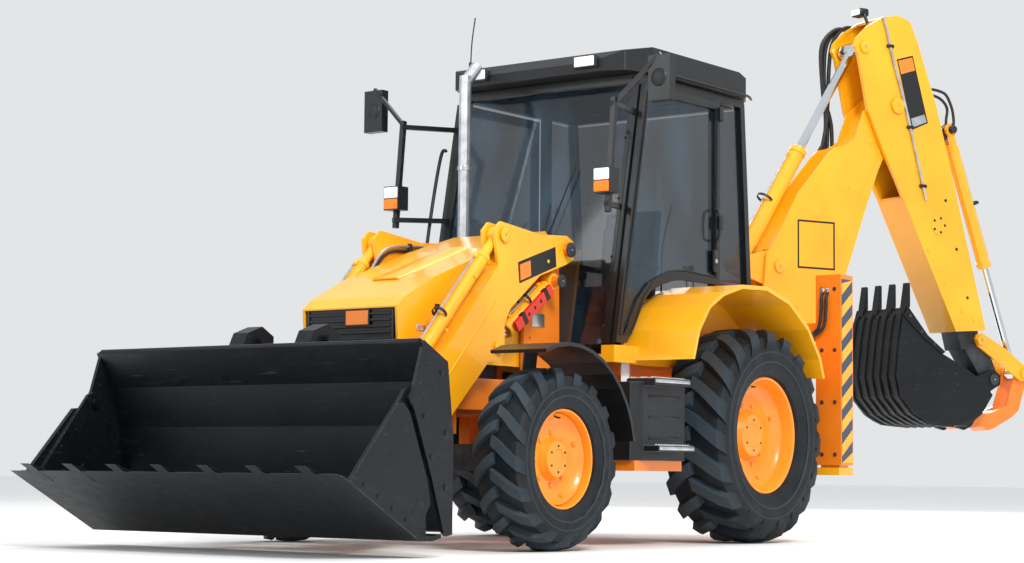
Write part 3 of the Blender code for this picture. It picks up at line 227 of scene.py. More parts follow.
def bucket_steel():
    look = Look("bucket_black", 0.42, 0.0)
    look.shader.inputs["Specular IOR Level"].default_value = 0.30
    base = look.ramp(look.noise(2.2, 6.0), [(0.30, rgb(6, 8, 10)), (0.72, rgb(16, 22, 28))])
    scrape = look.ramp(look.noise(9.0, 8.0, (0.35, 1.0, 3.0)),
        [(0.60, (0, 0, 0, 1)), (0.76, (0.7, 0.7, 0.7, 1))])
    rubbed = look.mix(scrape, base, rgb(34, 46, 56))
    scratch = look.ramp(look.noise(26.0, 9.0, (0.15, 1.0, 2.0)),
        [(0.66, (0, 0, 0, 1)), (0.72, (0.6, 0.6, 0.6, 1))])
    look.colour(look.mix(scratch, rubbed, rgb(58, 72, 84)))
    look.roughness(look.noise(16.0, 6.0), 0.28, 0.55)
    look.bump(look.noise(90.0, 6.0), 0.18, 0.004)
    return look.material


def rubber():
    look = Look("tyre_rubber_look", 0.62)
    look.shader.inputs["Specular IOR Level"].default_value = 0.30
    dust = look.ramp(look.noise(7.0, 7.0), [(0.38, rgb(15, 20, 24)), (0.74, rgb(30, 39, 46))])
    look.colour(look.mix(look.edges(0.54, 0.64), dust, rgb(52, 64, 73)))
    look.roughness(look.noise(30.0, 5.0), 0.48, 0.74)
    look.bump(look.noise(320.0, 4.0), 0.22, 0.002)
    return look.material


def cloth():
    look = Look("seat_weave", 0.9, 0.0, 0.0, 0.25)
    wave = look.node("ShaderNodeTexWave")
    wave.inputs["Scale"].default_value = 170.0
    wave.inputs["Distortion"].default_value = 1.5
    look.link(look.place, wave.inputs["Vector"])
    tone = look.ramp(look.noise(40.0, 6.0), [(0.3, rgb(32, 36, 42)), (0.7, rgb(58, 64, 72))])
    look.colour(look.mix(wave.outputs["Fac"], tone, rgb(44, 49, 56)))
    look.roughness(look.noise(120.0, 3.0), 0.8, 0.98)
    look.bump(wave.outputs["Fac"], 0.35, 0.0012)
    return look.material


def glass(name, tint, clear):
    """Tinted safety glass: thin, reflective, with faint dust streaks."""
    look = Look(name, 0.02)
    look.shader.inputs["Alpha"].default_value = clear
    look.shader.inputs["IOR"].default_value = 1.5
    look.shader.inputs["Specular IOR Level"].default_value = 0.9
    streak = look.ramp(look.noise(1.3, 5.0, (1.6, 1.6, 0.6)),
        [(0.42, tint), (0.80, rgb(52, 88, 112))])
    look.colour(streak)
    look.roughness(look.noise(18.0, 5.0), 0.01, 0.10)
    look.bump(look.noise(3.0, 2.0), 0.02, 0.002)
    return look.material


def lamp_face(name, colour, glow):
    """A ribbed lens."""
    look = Look(name, 0.15)
    wave = look.node("ShaderNodeTexWave")
    wave.inputs["Scale"].default_value = 55.0
    look.link(look.place, wave.inputs["Vector"])
    dim = (colour[0] * 0.75, colour[1] * 0.75, colour[2] * 0.75, 1.0)
    look.colour(look.mix(wave.outputs["Fac"], colour, dim))
    look.roughness(look.noise(40.0, 3.0), 0.08, 0.2)
    look.bump(wave.outputs["Fac"], 0.4, 0.002)
    look.shader.inputs["Emission Color"].default_value = colour
    look.shader.inputs["Emission Strength"].default_value = glow
    return look.material


# Lighter edge materials for the bevels: partly rubbed paint wear, partly a painted highlight along
# every edge.
YELLOW_EDGE_HIGHLIGHT = paint("yellow_rubbed_highlight", rgb(255, 204, 70), rgb(252, 184, 44), rgb(214, 130, 34), 0.36,
    0.2)
ORANGE_EDGE_HIGHLIGHT = paint("orange_rubbed_highlight", rgb(252, 164, 76), rgb(244, 142, 48), rgb(196, 100, 34), 0.36,
    0.2)
BLACK_EDGE_HIGHLIGHT = plain("black_rubbed_highlight", rgb(52, 60, 68), rgb(30, 36, 42), 0.36, 0.1, 90.0, 0.1)
STEEL_EDGE_HIGHLIGHT = plain("steel_rubbed_highlight", rgb(92, 108, 120), rgb(48, 60, 70), 0.34, 0.4, 70.0, 0.15)
CHROME = chrome()
STEEL = bucket_steel()
RUBBER = rubber()
CLOTH = cloth()
GLASS = glass("cab_glazing", rgb(10, 24, 34), 0.52)
MIRROR = plain("mirror_face", rgb(226, 232, 238), rgb(196, 206, 214), 0.08, 1.0, 20.0, 0.02)
LAMP = lamp_face("lamp_lens", rgb(240, 246, 250), 0.35)
AMBER = lamp_face("amber_lens", rgb(255, 130, 20), 0.25)
REDLENS = lamp_face("red_lens", rgb(210, 20, 14), 0.15)

SLOT_OF = {"yellow_paint": YELLOW, "orange_paint": ORANGE, "chrome_rod": CHROME,
    "bucket_steel": STEEL, "black_paint": BLACK, "black_plastic": PLASTIC, "seat_cloth": CLOTH,
    "cast_grey": GREY, "grey_steel": GREASED, "tyre_rubber": RUBBER, "cab_glass": GLASS}
EDGE_HIGHLIGHT_OF = {YELLOW: YELLOW_EDGE_HIGHLIGHT, ORANGE: ORANGE_EDGE_HIGHLIGHT, BLACK: BLACK_EDGE_HIGHLIGHT, PLASTIC: BLACK_EDGE_HIGHLIGHT,
    STEEL: STEEL_EDGE_HIGHLIGHT}

# ---- where the digger stands ----
SLEW = math.radians(22.0)
OUT = Vector((math.sin(SLEW), math.cos(SLEW), 0.0))
ACROSS = Vector((math.cos(SLEW), -math.sin(SLEW), 0.0))
POST = Vector((0.0, 1.48, 0.0))
KNUCKLE_PIN = (1.093, 3.558)       # digger pins, as (reach, height)
DIPPER_RAM_FOOT = (0.04, 1.90)
BUCKET_RAM_FOOT = (2.02, 3.04)
LEVER_EYE = (2.680, 1.207)
HOSE_LANES = (-0.178, -0.204, -0.204, -0.178)    # how far across each digger hose runs
HOSE_RADIUS = 0.0150

# ---- where the loader's pins stand, as (y, z) ----
LIFT_RAM_FOOT = (-1.325, 1.550)
LIFT_EYE = (-1.900, 1.130)
TILT_RAM_FOOT = (-1.855, 1.775)
SHOVEL_PIN = (-3.080, 0.165)
TILT_CRANK = 0.498                 # from the shovel's pin to the tilt rod's eye
TILT_LEAN = math.radians(71.9)
TILT_EYE = (SHOVEL_PIN[0] + TILT_CRANK * math.cos(TILT_LEAN),
    SHOVEL_PIN[1] + TILT_CRANK * math.sin(TILT_LEAN))
CAB_FLOOR = 1.131
REAR_TYRE_RADIUS = 0.67
CASING_FACE = 1.1745               # the stabiliser casing's outer face


def dig(across, reach, height):
    """A digger point: across its plane, reach from the kingpost axis, height."""
    return POST + ACROSS * across + OUT * reach + Vector((0.0, 0.0, height))


# ---- mesh helpers ----
class Build:
    """Collects solids of several finishes, then makes one piece of them."""

    def __init__(self):
        self.work = bmesh.new()
        self.finishes = []

    def finish_index(self, finish):
        if finish not in self.finishes:
            self.finishes.append(finish)
        return self.finishes.index(finish)

    def hull(self, rings, finish, capped=True, closed=False):
        """Skin between rings of points."""
        index = self.finish_index(finish)
        rows = [[self.work.verts.new(point) for point in ring] for ring in rings]
        count = len(rows[0])
        pairs = list(zip(rows, rows[1:]))
        if closed:
            pairs.append((rows[-1], rows[0]))
        for first, second in pairs:
            for i in range(count):
                j = (i + 1) % count
                face = self.work.faces.new((first[i], first[j], second[j], second[i]))
                face.material_index = index
                face.smooth = True
        if capped and not closed:
            for row in (rows[0], rows[-1]):
                face = self.work.faces.new(row)
                face.material_index = index
        return self

    def prism(self, outline, low, high, finish, mapped=None):
        """A (y, z) outline from x=low to x=high; mapped turns (x, y, z) into a point."""
        mapped = mapped or (lambda x, y, z: Vector((x, y, z)))
        rings = [[mapped(x, y, z) for y, z in outline] for x in (low, high)]
        return self.hull(rings, finish)

    def block(self, low, high, finish, chamfer=0.004, mapped=None):
        """A box whose long edges are taken off."""
        c = min(chamfer, 0.3 * min(b - a for a, b in zip(low, high)))
        mapped = mapped or (lambda x, y, z: Vector((x, y, z)))
        rings = []
        for x, cut in ((low[0], c), (low[0] + c, 0.0), (high[0] - c, 0.0), (high[0], c)):
            y0, y1, z0, z1 = low[1] + cut, high[1] - cut, low[2] + cut, high[2] - cut
            points = [(y0 + c, z0), (y1 - c, z0), (y1, z0 + c), (y1, z1 - c), (y1 - c, z1),
                (y0 + c, z1), (y0, z1 - c), (y0, z0 + c)]
            rings.append([mapped(x, y, z) for y, z in points])
        return self.hull(rings, finish)

    def flank(self, sign, x_in, x_out, low, high, finish, chamfer=0.004):
        """A block on one side of the machine; low and high are (y, z)."""
        start, end = sorted((sign * x_in, sign * x_out))
        return self.block((start, *low), (end, *high), finish, chamfer)

    def turned(self, centre, axis, profile, finish, sides=24, closed=False):
        """A solid of revolution: profile holds (along, radius)."""
        axis = Vector(axis).normalized()
        helper = Vector((0, 0, 1)) if abs(axis.z) < 0.9 else Vector((0, 1, 0))
        one = axis.cross(helper).normalized()
        two = axis.cross(one)
        rings = []
        for along, radius in profile:
            middle = Vector(centre) + axis * along
            rings.append([middle + (one * math.cos(2 * math.pi * i / sides)
                + two * math.sin(2 * math.pi * i / sides)) * max(radius,
                0.0004) for i in range(sides)])
        return self.hull(rings, finish, True, closed)

    def tube(self, points, radius, finish, sides=10, steps=5):
        """A round tube along a smooth line through the points."""
        line = smooth_line([Vector(p) for p in points], steps)
        rings = []
        side = None
        for i, point in enumerate(line):
            ahead = line[min(i + 1, len(line) - 1)] - line[max(i - 1, 0)]
            ahead.normalize()
            if side is None:
                helper = Vector((0, 0, 1)) if abs(ahead.z) < 0.9 else Vector((0, 1, 0))
                side = ahead.cross(helper).normalized()
            side = (side - ahead * side.dot(ahead)).normalized()
            other = ahead.cross(side)
            rings.append([point + (side * math.cos(2 * math.pi * k / sides)
                + other * math.sin(2 * math.pi * k / sides)) * radius for k in range(sides)])
        return self.hull(rings, finish)

    def bolt(self, centre, axis, radius, finish):
        """A hexagon head on its washer."""
        self.turned(centre, axis, [(0.0, radius * 1.35), (radius * 0.25, radius * 1.35)], finish,
            16)
        return self.turned(Vector(centre), axis, [(radius * 0.2, radius), (radius * 0.8, radius),
            (radius * 0.95, radius * 0.8)], finish, 6)

    def done(self, name, body, bevel=0.0, replaces=()):
        bmesh.ops.recalc_face_normals(self.work, faces=self.work.faces)
        mesh = bpy.data.meshes.new(name)
        self.work.to_mesh(mesh)
        self.work.free()
        for finish in self.finishes:
            mesh.materials.append(finish)
        mesh.set_sharp_from_angle(angle=math.radians(38))
        item = placed(name, mesh)
        if bevel > 0.0:
            step = item.modifiers.new("edge", "BEVEL")
            step.width = bevel
            step.segments = 2
            step.limit_method = "ANGLE"
            step.angle_limit = math.radians(50)
        if body:
            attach(item, body)
        if replaces:
            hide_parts(*replaces)
        return item


def smooth_line(points, steps):
    """A Catmull-Rom line through the points."""
    if len(points) < 3:
        return points
    line = []
    ends = [points[0] * 2 - points[1]] + points + [points[-1] * 2 - points[-2]]
    for i in range(1, len(ends) - 2):
        a, b, c, d = ends[i - 1:i + 3]
        for k in range(steps):
            t = k / steps
            line.append(0.5 * ((2 * b) + (c - a) * t + (2 * a - 5 * b + 4 * c - d) * t * t
                + (3 * b - a - 3 * c + d) * t ** 3))
    line.append(points[-1])
    return line


SIDES = (("left", 1.0), ("right", -1.0))
SIGNS = (1.0, -1.0)


# ---- carried-over pieces: finish and rounded edges ----
def dress_nodes():
    for name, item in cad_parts.items():
        for index, material in enumerate(item.data.materials):
            base = material.name.split(".")[0]
            item.data.materials[index] = SLOT_OF[base]
        if "tyre" in name or "rim" in name or item.data.materials[0] == GLASS:
            continue
        if name == "exhaust_stack":
            item.data.materials[0] = ALLOY
        rubbed = EDGE_HIGHLIGHT_OF.get(item.data.materials[0])
        weld = item.modifiers.new("weld", "WELD")
        weld.merge_threshold = 0.0002
        edge = item.modifiers.new("edge", "BEVEL")
        edge.width = 0.004
        edge.segments = 2
        edge.limit_method = "ANGLE"
        edge.angle_limit = math.radians(42)
        edge.use_clamp_overlap = True
        edge.harden_normals = True
        # The bevel faces get the lighter edge material: partly rubbed paint, partly a painted
        # highlight along the edges.
        if rubbed is not None:
            item.data.materials.append(rubbed)
            edge.material = len(item.data.materials) - 1


dress_nodes()

# ---- wheels: place, radius, width, rim radius, x, y, lugs ----
WHEELS = (("front", 0.50, 0.32, 0.275, 0.96, -2.05, 17),
    ("rear", 0.67, 0.45, 0.365, 0.90, 0.12, 19))


def tyre_wall(radius, width, rim):
    """Half of the carcass section, as (across, radius), from bead to crown."""
    half = width / 2
    wall = radius - rim
    return [(0.74 * half, rim + 0.001), (0.84 * half, rim + 0.03 * wall),
        (0.93 * half, rim + 0.16 * wall), (0.985 * half, rim + 0.36 * wall),
        (0.99 * half, rim + 0.54 * wall), (0.94 * half, rim + 0.70 * wall),
        (0.84 * half, rim + 0.79 * wall), (0.55 * half, rim + 0.835 * wall),
        (0.0, rim + 0.85 * wall)]


def make_tyre(place, side, sign, radius, width, rim, x, y, lugs):
    build = Build()
    wall = tyre_wall(radius, width, rim)
    profile = wall + [(-a, r) for a, r in reversed(wall[:-1])]
    centre = Vector((sign * x, y, radius))
    build.turned(centre, (sign, 0, 0), profile, RUBBER, 72, True)
    for ring in (0.30, 0.50):
        at = rim + ring * (radius - rim)
        build.turned(centre, (sign, 0, 0), [(0.970 * width / 2, at - 0.008),
            (0.998 * width / 2, at - 0.004), (0.998 * width / 2, at + 0.004),
            (0.970 * width / 2, at + 0.008)], RUBBER, 72, True)
    half = width / 2
    deep = rim + 0.80 * (radius - rim)
    for hand in (1, -1):
        for i in range(lugs):
            start = 2 * math.pi * (i + (0.5 if hand < 0 else 0.0)) / lugs
            rings = []
            for k, (across, top, turn) in enumerate(((-0.06, radius - 0.004, 0.0),
                    (0.28, radius, 0.22), (0.62, radius - 0.006, 0.52),
                    (0.90, radius - 0.030, 0.80), (0.995, radius - 0.085, 1.0),
                    (0.985, radius - 0.135, 1.08))):
                wide = (0.046, 0.047, 0.050, 0.055, 0.058, 0.040)[k] / REAR_TYRE_RADIUS * 1.22
                base = min(deep, top - 0.012) - 0.02
                angle = start + 0.30 * turn * (REAR_TYRE_RADIUS / radius) ** 0.3
                ring = []
                for a, r in ((-wide, base), (-wide * 0.80, top), (wide * 0.62, top), (wide, base)):
                    ring.append(centre + Vector((sign * hand * across * half,
                        r * math.cos(angle + a), r * math.sin(angle + a))))
                rings.append(ring)
            build.hull(rings, RUBBER)
    name = place + "_tyre_" + side
    build.done("treaded_" + name, place + "_wheel_" + side, 0.0, (name,))


def make_rim(place, side, sign, radius, width, rim, x, y):
    build = Build()
    centre = Vector((sign * x, y, radius))
    half = 0.76 * width / 2
    axis = (sign, 0, 0)
    profile = [(0.0, 0.0), (0.0, 0.66 * rim), (0.04, 0.88 * rim), (-half, 0.92 * rim),
        (-half, 0.995 * rim), (-half + 0.014, rim), (-half + 0.022, 0.965 * rim),
        (half - 0.022, 0.965 * rim), (half - 0.014, rim), (half - 0.003, 0.998 * rim),
        (half, 0.985 * rim), (half - 0.003, 0.955 * rim), (half - 0.02, 0.935 * rim),
        (half * 0.55, 0.925 * rim), (0.078, 0.905 * rim), (0.058, 0.86 * rim), (0.036, 0.76 * rim),
        (0.030, 0.68 * rim), (0.032, 0.44 * rim), (0.050, 0.405 * rim), (0.080, 0.36 * rim),
        (0.084, 0.33 * rim), (0.084, 0.20 * rim), (0.078, 0.185 * rim), (0.078, 0.0)]
    build.turned(centre, axis, profile, RIM_ORANGE, 64)
    nuts = 8 if place == "front" else 10
    for count, phase, out, ring, size, finish in ((nuts, 0.0, 0.030, 0.52, 0.013, RIM_ORANGE),
            (6, 0.5, 0.082, 0.26, 0.007, GREY), (4, 0.25, 0.044, 0.79, 0.011, RIM_ORANGE)):
        for i in range(count):
            turn = 2 * math.pi * (i + phase) / count
            spot = Vector((sign * out, ring * rim * math.cos(turn), ring * rim * math.sin(turn)))
            build.bolt(centre + spot, axis, size, finish)
    valve = centre + Vector((sign * 0.045, 0.0, 0.86 * rim))
    build.tube([valve, valve + Vector((sign * 0.03, 0, -0.01)),
        valve + Vector((sign * 0.05, 0, -0.012))], 0.005, HOSE, 8)
    name = place + "_rim_" + side
    build.done("wheel_" + name, place + "_wheel_" + side, 0.0, (name,))


for wheel in WHEELS:
    for side, sign in SIDES:
        make_tyre(wheel[0], side, sign, *wheel[1:])
        make_rim(wheel[0], side, sign, *wheel[1:-1])


# ---- front body ----
def dress_front():
    build = Build()
    for i in range(8):
        z = 1.045 + i * 0.034
        build.block((-0.300, -2.600, z), (0.300, -2.588, z + 0.016), PLASTIC, 0.003)
    build.block((-0.318, -2.601, 1.026), (-0.302, -2.584, 1.325), BLACK, 0.004)
    build.block((0.302, -2.601, 1.026), (0.318, -2.584, 1.325), BLACK, 0.004)
    build.block((-0.030, -2.606, 1.222), (0.150, -2.596, 1.318), BLACK, 0.004)
    build.block((-0.020, -2.609, 1.231), (0.140, -2.602, 1.309), ORANGE, 0.003)
    build.done("grille_slats", "chassis")
    build = Build()
    for sign in SIGNS:
        for i in range(7):
            y = -2.28 + i * 0.075
            build.flank(sign, 0.348, 0.3535, (y, 1.14), (y + 0.042, 1.36), BLACK, 0.002)
        for y, z in ((-1.28, 1.72), (-1.28, 1.15), (-2.50, 1.12), (-1.90, 1.12)):
            build.bolt((sign * 0.350, y, z), (sign, 0, 0), 0.009, GREY)
        build.flank(sign, 0.346, 0.356, (-2.44, 1.20), (-2.36, 1.235), ALLOY, 0.003)
    spine = [(y, z + 0.003) for y, z in ((-2.30, 1.507), (-1.72, 1.714), (-1.68, 1.735))]
    rings = []
    for y, z in spine:
        rings.append([Vector((-0.10, y, z)), Vector((-0.085, y - 0.003, z + 0.009)),
            Vector((0.085, y - 0.003, z + 0.009)), Vector((0.10, y, z))])
    build.hull(rings, YELLOW)
    build.done("bonnet_trim", "bonnet")
    build = Build()
    for x in (-0.30, -0.10, 0.10, 0.30):
        build.bolt((x, -2.541, 0.68), (0, -1, 0), 0.014, GREY)
    for sign in SIGNS:
        build.turned((sign * 0.20, -2.54, 0.86), (0, -1, 0),
            [(0.0, 0.034), (0.008, 0.034), (0.012, 0.028)], GREY)
        for z in (0.86, 0.92, 1.02, 1.10, 1.22, 1.40):
            build.bolt((sign * 0.391, -1.44, z), (sign, 0, 0), 0.010, ORANGE)
        build.flank(sign, 0.389, 0.394, (-1.42, 1.28), (-1.30, 1.36), ALLOY, 0.002)
        build.flank(sign, 0.389, 0.394, (-1.42, 1.40), (-1.34, 1.46), BLACK, 0.002)
    build.turned((-0.385, -1.102, 1.46), (0, 0, 1), [(0, 0.0385), (0.002, 0.044), (0.038, 0.044),
        (0.04, 0.0385)], ALLOY, 28, True)
    build.turned((-0.385, -1.102, 2.30), (0, 0, 1), [(0, 0.0385), (0.002, 0.043), (0.028, 0.043),
        (0.03, 0.0385)], ALLOY, 28, True)
    build.block((-0.450, -1.110, 2.305), (-0.425, -1.094, 2.325), GREY, 0.002)
    build.done("frame_fittings", "chassis")


dress_front()


# ---- cab ----
def dress_cab():
    build = Build()
    for sign in SIGNS:
        build.flank(sign, 0.335, 0.505, (-0.953, 2.892), (-0.900, 2.972), BLACK, 0.008)
        build.flank(sign, 0.347, 0.493, (-0.959, 2.902), (-0.945, 2.962), LAMP)
        build.flank(sign, 0.335, 0.505, (0.560, 2.888), (0.598, 2.955), BLACK, 0.008)
        build.flank(sign, 0.347, 0.493, (0.594, 2.897), (0.603, 2.946), LAMP)
        build.flank(sign, 0.752, 0.858, (-1.320, 2.135), (-1.306, 2.203), LAMP, 0.006)
        build.flank(sign, 0.752, 0.858, (-1.320, 2.066), (-1.306, 2.128), AMBER, 0.006)
        build.flank(sign, 1.038, 1.162, (-1.097, 2.612), (-1.090, 2.858), MIRROR, 0.006)
        build.turned((sign * 1.10, -1.155, 2.735), (0, -1, 0),
            [(0.0, 0.055), (0.006, 0.050), (0.012, 0.030)], PLASTIC, 24)
        build.flank(sign, 0.98, 1.09, (0.675, 1.245), (0.715, 1.345), BLACK, 0.006)
        build.flank(sign, 0.988, 1.082, (0.712, 1.300), (0.721, 1.338), REDLENS)
        build.flank(sign, 0.988, 1.082, (0.712, 1.252), (0.721, 1.292), AMBER)
    build.done("lamps_and_mirrors", "chassis")

    build = Build()
    for sign in SIGNS:
        rail = [(sign * 0.700, -1.048, 1.62), (sign * 0.735, -1.060, 1.66),
            (sign * 0.742, -0.990, 2.05), (sign * 0.735, -0.905, 2.44),
            (sign * 0.700, -0.890, 2.48)]
        build.tube(rail, 0.0115, PLASTIC, 12)
        for z in (1.30, 1.72, 2.08, 2.46, 2.72):
            y = -1.19 + (z - 1.15) * 0.19 + 0.12
            build.bolt((sign * 0.640, y - 0.001, z), (0, -1, 0.19), 0.007, GREY)
    wiper = [(0.02, -1.072, 1.24), (0.05, -1.050, 1.36), (0.12, -0.955, 1.86), (0.15, -0.915, 2.07)]
    build.tube(wiper, 0.007, PLASTIC, 10)
    build.tube([(-0.06, -0.995, 1.60), (0.12, -0.962, 1.80), (0.30, -0.868, 2.30)], 0.005, PLASTIC,
        8)
    build.turned((0.02, -1.062, 1.235), (0, -1, 0.19), [(0.0, 0.028), (0.012, 0.028),
        (0.018, 0.020)], PLASTIC)
    build.tube([(0.0, 0.560, 1.64), (0.02, 0.545, 1.95), (0.10, 0.532, 2.22)], 0.006, PLASTIC, 8)
    build.tube([(-0.60, -0.78, 2.985), (-0.602, -0.775, 3.06)], 0.012, PLASTIC, 12)
    build.tube([(-0.602, -0.775, 3.05), (-0.605, -0.76, 3.20), (-0.60, -0.735, 3.36)], 0.0045,
        PLASTIC, 8)
    build.done("rails_wipers_aerial", "chassis")

    build = Build()
    gutter = [(-0.80, 0.745), (-0.66, 0.752), (0.0, 0.752), (0.30, 0.750), (0.44, 0.70)]
    for sign in SIGNS:
        build.tube([(sign * x, y + 0.12, 2.886) for y, x in gutter], 0.009, PLASTIC, 8)
        for y in (-0.62, -0.10, 0.26):
            build.turned((sign * 0.60, y + 0.12, 3.029), (0, 0, 1),
                [(0.0, 0.017), (0.003, 0.016), (0.005, 0.008)], PLASTIC, 20)
    for i in range(5):
        x = -0.44 + i * 0.22
        build.block((x - 0.018, -0.62, 3.028), (x + 0.018, 0.26, 3.034), PLASTIC, 0.003)
    build.done("roof_ribs", "chassis")


def dress_doors():
    for side, sign in SIDES:
        build = Build()
        handle = [(sign * 0.738, 0.045, 1.90), (sign * 0.775, 0.040, 1.92),
            (sign * 0.782, 0.040, 2.00), (sign * 0.775, 0.040, 2.08), (sign * 0.738, 0.045, 2.10)]
        build.tube(handle, 0.009, PLASTIC, 10)
        build.flank(sign, 0.733, 0.752, (0.022, 1.70), (0.072, 1.84), BLACK, 0.005)
        build.turned((sign * 0.752, 0.047, 1.77), (sign, 0, 0),
            [(0.0, 0.014), (0.004, 0.013), (0.006, 0.006)], ALLOY, 20)
        for z in (2.02, 2.72):
            build.turned((sign * 0.748, 0.108, z - 0.045), (0, 0, 1),
                [(0.0, 0.012), (0.004, 0.015), (0.086, 0.015), (0.09, 0.012)], PLASTIC, 18)
        edge = [(-1.165, 1.20), (-1.05, 1.20), (-1.00, 1.27), (-0.905, 1.43), (-0.795, 1.53),
            (-0.68, 1.575), (-0.55, 1.61), (-0.40, 1.625), (-0.005, 1.625), (-0.005, 2.80),
            (-0.862, 2.80)]
        middle = Vector((-0.52, 2.10))
        line = []
        for y, z in edge + edge[:1]:
            point = Vector((y, z)) + (middle - Vector((y, z))).normalized() * 0.062
            line.append((sign * 0.7365, point.x + 0.12, point.y))
        build.tube(line, 0.006, PLASTIC, 8, 1)
        build.done("door_fittings_" + side, "door_" + side)


dress_cab()
dress_doors()


def dress_inside():
    build = Build()
    console = [(-0.98, CAB_FLOOR), (-0.74, CAB_FLOOR), (-0.765, 1.36), (-0.80, 1.50),
        (-0.86, 1.555), (-0.90, 1.558)]
    build.prism(console, -0.155, 0.155, CHARCOAL)
    build.prism([(-0.895, 1.555), (-0.80, 1.50), (-0.775, 1.53), (-0.86, 1.60)], -0.13, 0.13, BLACK)
    for i in range(3):
        build.turned((-0.075 + i * 0.075, -0.822, 1.567), (0, 0.62, 0.78),
            [(0, 0.026), (0.004, 0.026), (0.006, 0.020)], ALLOY, 24)
    way = Vector((0, 0.17, 0.30)).normalized()
    build.tube([(0, -0.87, 1.50), (0, -0.80, 1.62), (0, -0.715, 1.775)], 0.026, PLASTIC, 16)
    hub = Vector((0, -0.706, 1.790))
    build.turned(hub - way * 0.012, way, [(0.0, 0.038), (0.010, 0.044), (0.026, 0.036),
        (0.030, 0.012)], PLASTIC)
    side = Vector((1, 0, 0))
    up = way.cross(side).normalized()
    ring = [hub + (side * math.cos(t * math.pi / 18) + up * math.sin(t * math.pi / 18)) * 0.160
        for t in range(37)]
    build.tube(ring, 0.013, PLASTIC, 10, 1)
    for turn in (90, 210, 330):
        a = math.radians(turn)
        out = side * math.cos(a) + up * math.sin(a)
        build.tube([hub + out * 0.03, hub + out * 0.09 - way * 0.004, hub + out * 0.155], 0.009,
            PLASTIC, 8)
    build.turned(hub + side * 0.10 + up * 0.124, way, [(0.0, 0.006), (0.015, 0.008), (0.03, 0.018),
        (0.05, 0.016), (0.055, 0.008)], BLACK, 16)
    build.tube([(0.03, -0.80, 1.62), (0.12, -0.79, 1.66), (0.19, -0.78, 1.68)], 0.005, BLACK, 8)
    build.done("steering_column", "chassis", 0.003, ("steering_console",))

    build = Build()
    for sign in SIGNS:
        build.flank(sign, 0.36, 0.50, (0.06, CAB_FLOOR), (0.50, 1.50), CHARCOAL, 0.012)
        for i in range(2):
            x = sign * (0.40 + 0.05 * i)
            build.tube([(x, 0.26, 1.49), (x + sign * 0.005, 0.25, 1.62), (x, 0.23, 1.74)], 0.006,
                ALLOY, 8)
            build.turned((x, 0.23, 1.72), (0, -0.1, 1), [(0, 0.008), (0.012, 0.018), (0.04, 0.020),
                (0.055, 0.008)], BLACK, 14)
    build.done("side_consoles", "chassis", 0.004)

    build = Build()
    centre = Vector((0, -0.10, CAB_FLOOR))
    profile = [(0.0, 0.125), (0.02, 0.128)]
    for i in range(9):
        profile.append((0.04 + i * 0.028, 0.105 if i % 2 else 0.126))
    profile += [(0.30, 0.122), (0.312, 0.10)]
    build.turned(centre, (0, 0, 1), profile, PLASTIC, 32)
    build.block((-0.195, -0.275, 1.440), (0.195, 0.078, 1.498), PLASTIC, 0.010)
    build.tube([(0.15, -0.27, 1.46), (0.20, -0.30, 1.45), (0.20, -0.31, 1.43)], 0.006, PLASTIC, 8)
    build.done("seat_suspension", "chassis", 0.0, ("seat_base",))


dress_inside()


# ---- seat ----
def cushion(name, corners_low, corners_high, tilt, cap, frames):
    """A cloth-blown pad from a slightly small box; tilt leans it about X."""
    low = Vector(corners_low)
    high = Vector(corners_high)
    middle = (low + high) / 2
    half = (high - low) / 2
    mesh = bpy.data.meshes.new(name)
    work = bmesh.new()
    bmesh.ops.create_cube(work, size=2.0)
    bmesh.ops.bevel(work, geom=list(work.edges), offset=0.32, segments=3, affect="EDGES",
        clamp_overlap=True)
    for vertex in work.verts:
        vertex.co = Vector((vertex.co.x * half.x, vertex.co.y * half.y, vertex.co.z * half.z))
    work.to_mesh(mesh)
    work.free()
    item = placed(name, mesh)
    remesh = item.modifiers.new("remesh", "REMESH")
    remesh.mode = "VOXEL"
    remesh.voxel_size = 0.011
    apply_all(item)
    start = [vertex.co.copy() for vertex in item.data.vertices]
    swell = item.modifiers.new("cloth", "CLOTH")
    swell.settings.use_pressure = True
    swell.settings.uniform_pressure_force = 4.0
    swell.settings.quality = 4
    swell.settings.effector_weights.gravity = 0.0
    swell.point_cache.frame_start = 1
    swell.point_cache.frame_end = frames
    for step in range(1, frames + 1):
        bpy.context.scene.frame_set(step)
        item.evaluated_get(bpy.context.evaluated_depsgraph_get())
    apply_all(item)
    bpy.context.scene.frame_set(1)
    turn = Matrix.Rotation(tilt, 3, "X")
    for vertex, was in zip(item.data.vertices, start):
        move = vertex.co - was
        if move.length > cap:
            vertex.co = was + move.normalized() * cap
        across = vertex.co.x / half.x
        channel = sum(math.exp(-((across - at) / 0.035) ** 2) for at in (-0.55, 0.0, 0.55))
        if abs(vertex.co.z) > 0.4 * half.z:
            vertex.co.z -= math.copysign(0.006 * channel, vertex.co.z)
        vertex.co = middle + turn @ vertex.co
    for face in item.data.polygons:
        face.use_smooth = True
    item.data.materials.clear()
    item.data.materials.append(CLOTH)
    smooth = item.modifiers.new("finer", "SUBSURF")
    smooth.levels = 1
    smooth.render_levels = 1
    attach(item, "seat")
    return item


def apply_all(item):
    graph = bpy.context.evaluated_depsgraph_get()
    graph.update()
    mesh = bpy.data.meshes.new_from_object(item.evaluated_get(graph))
    item.modifiers.clear()
    item.data = mesh


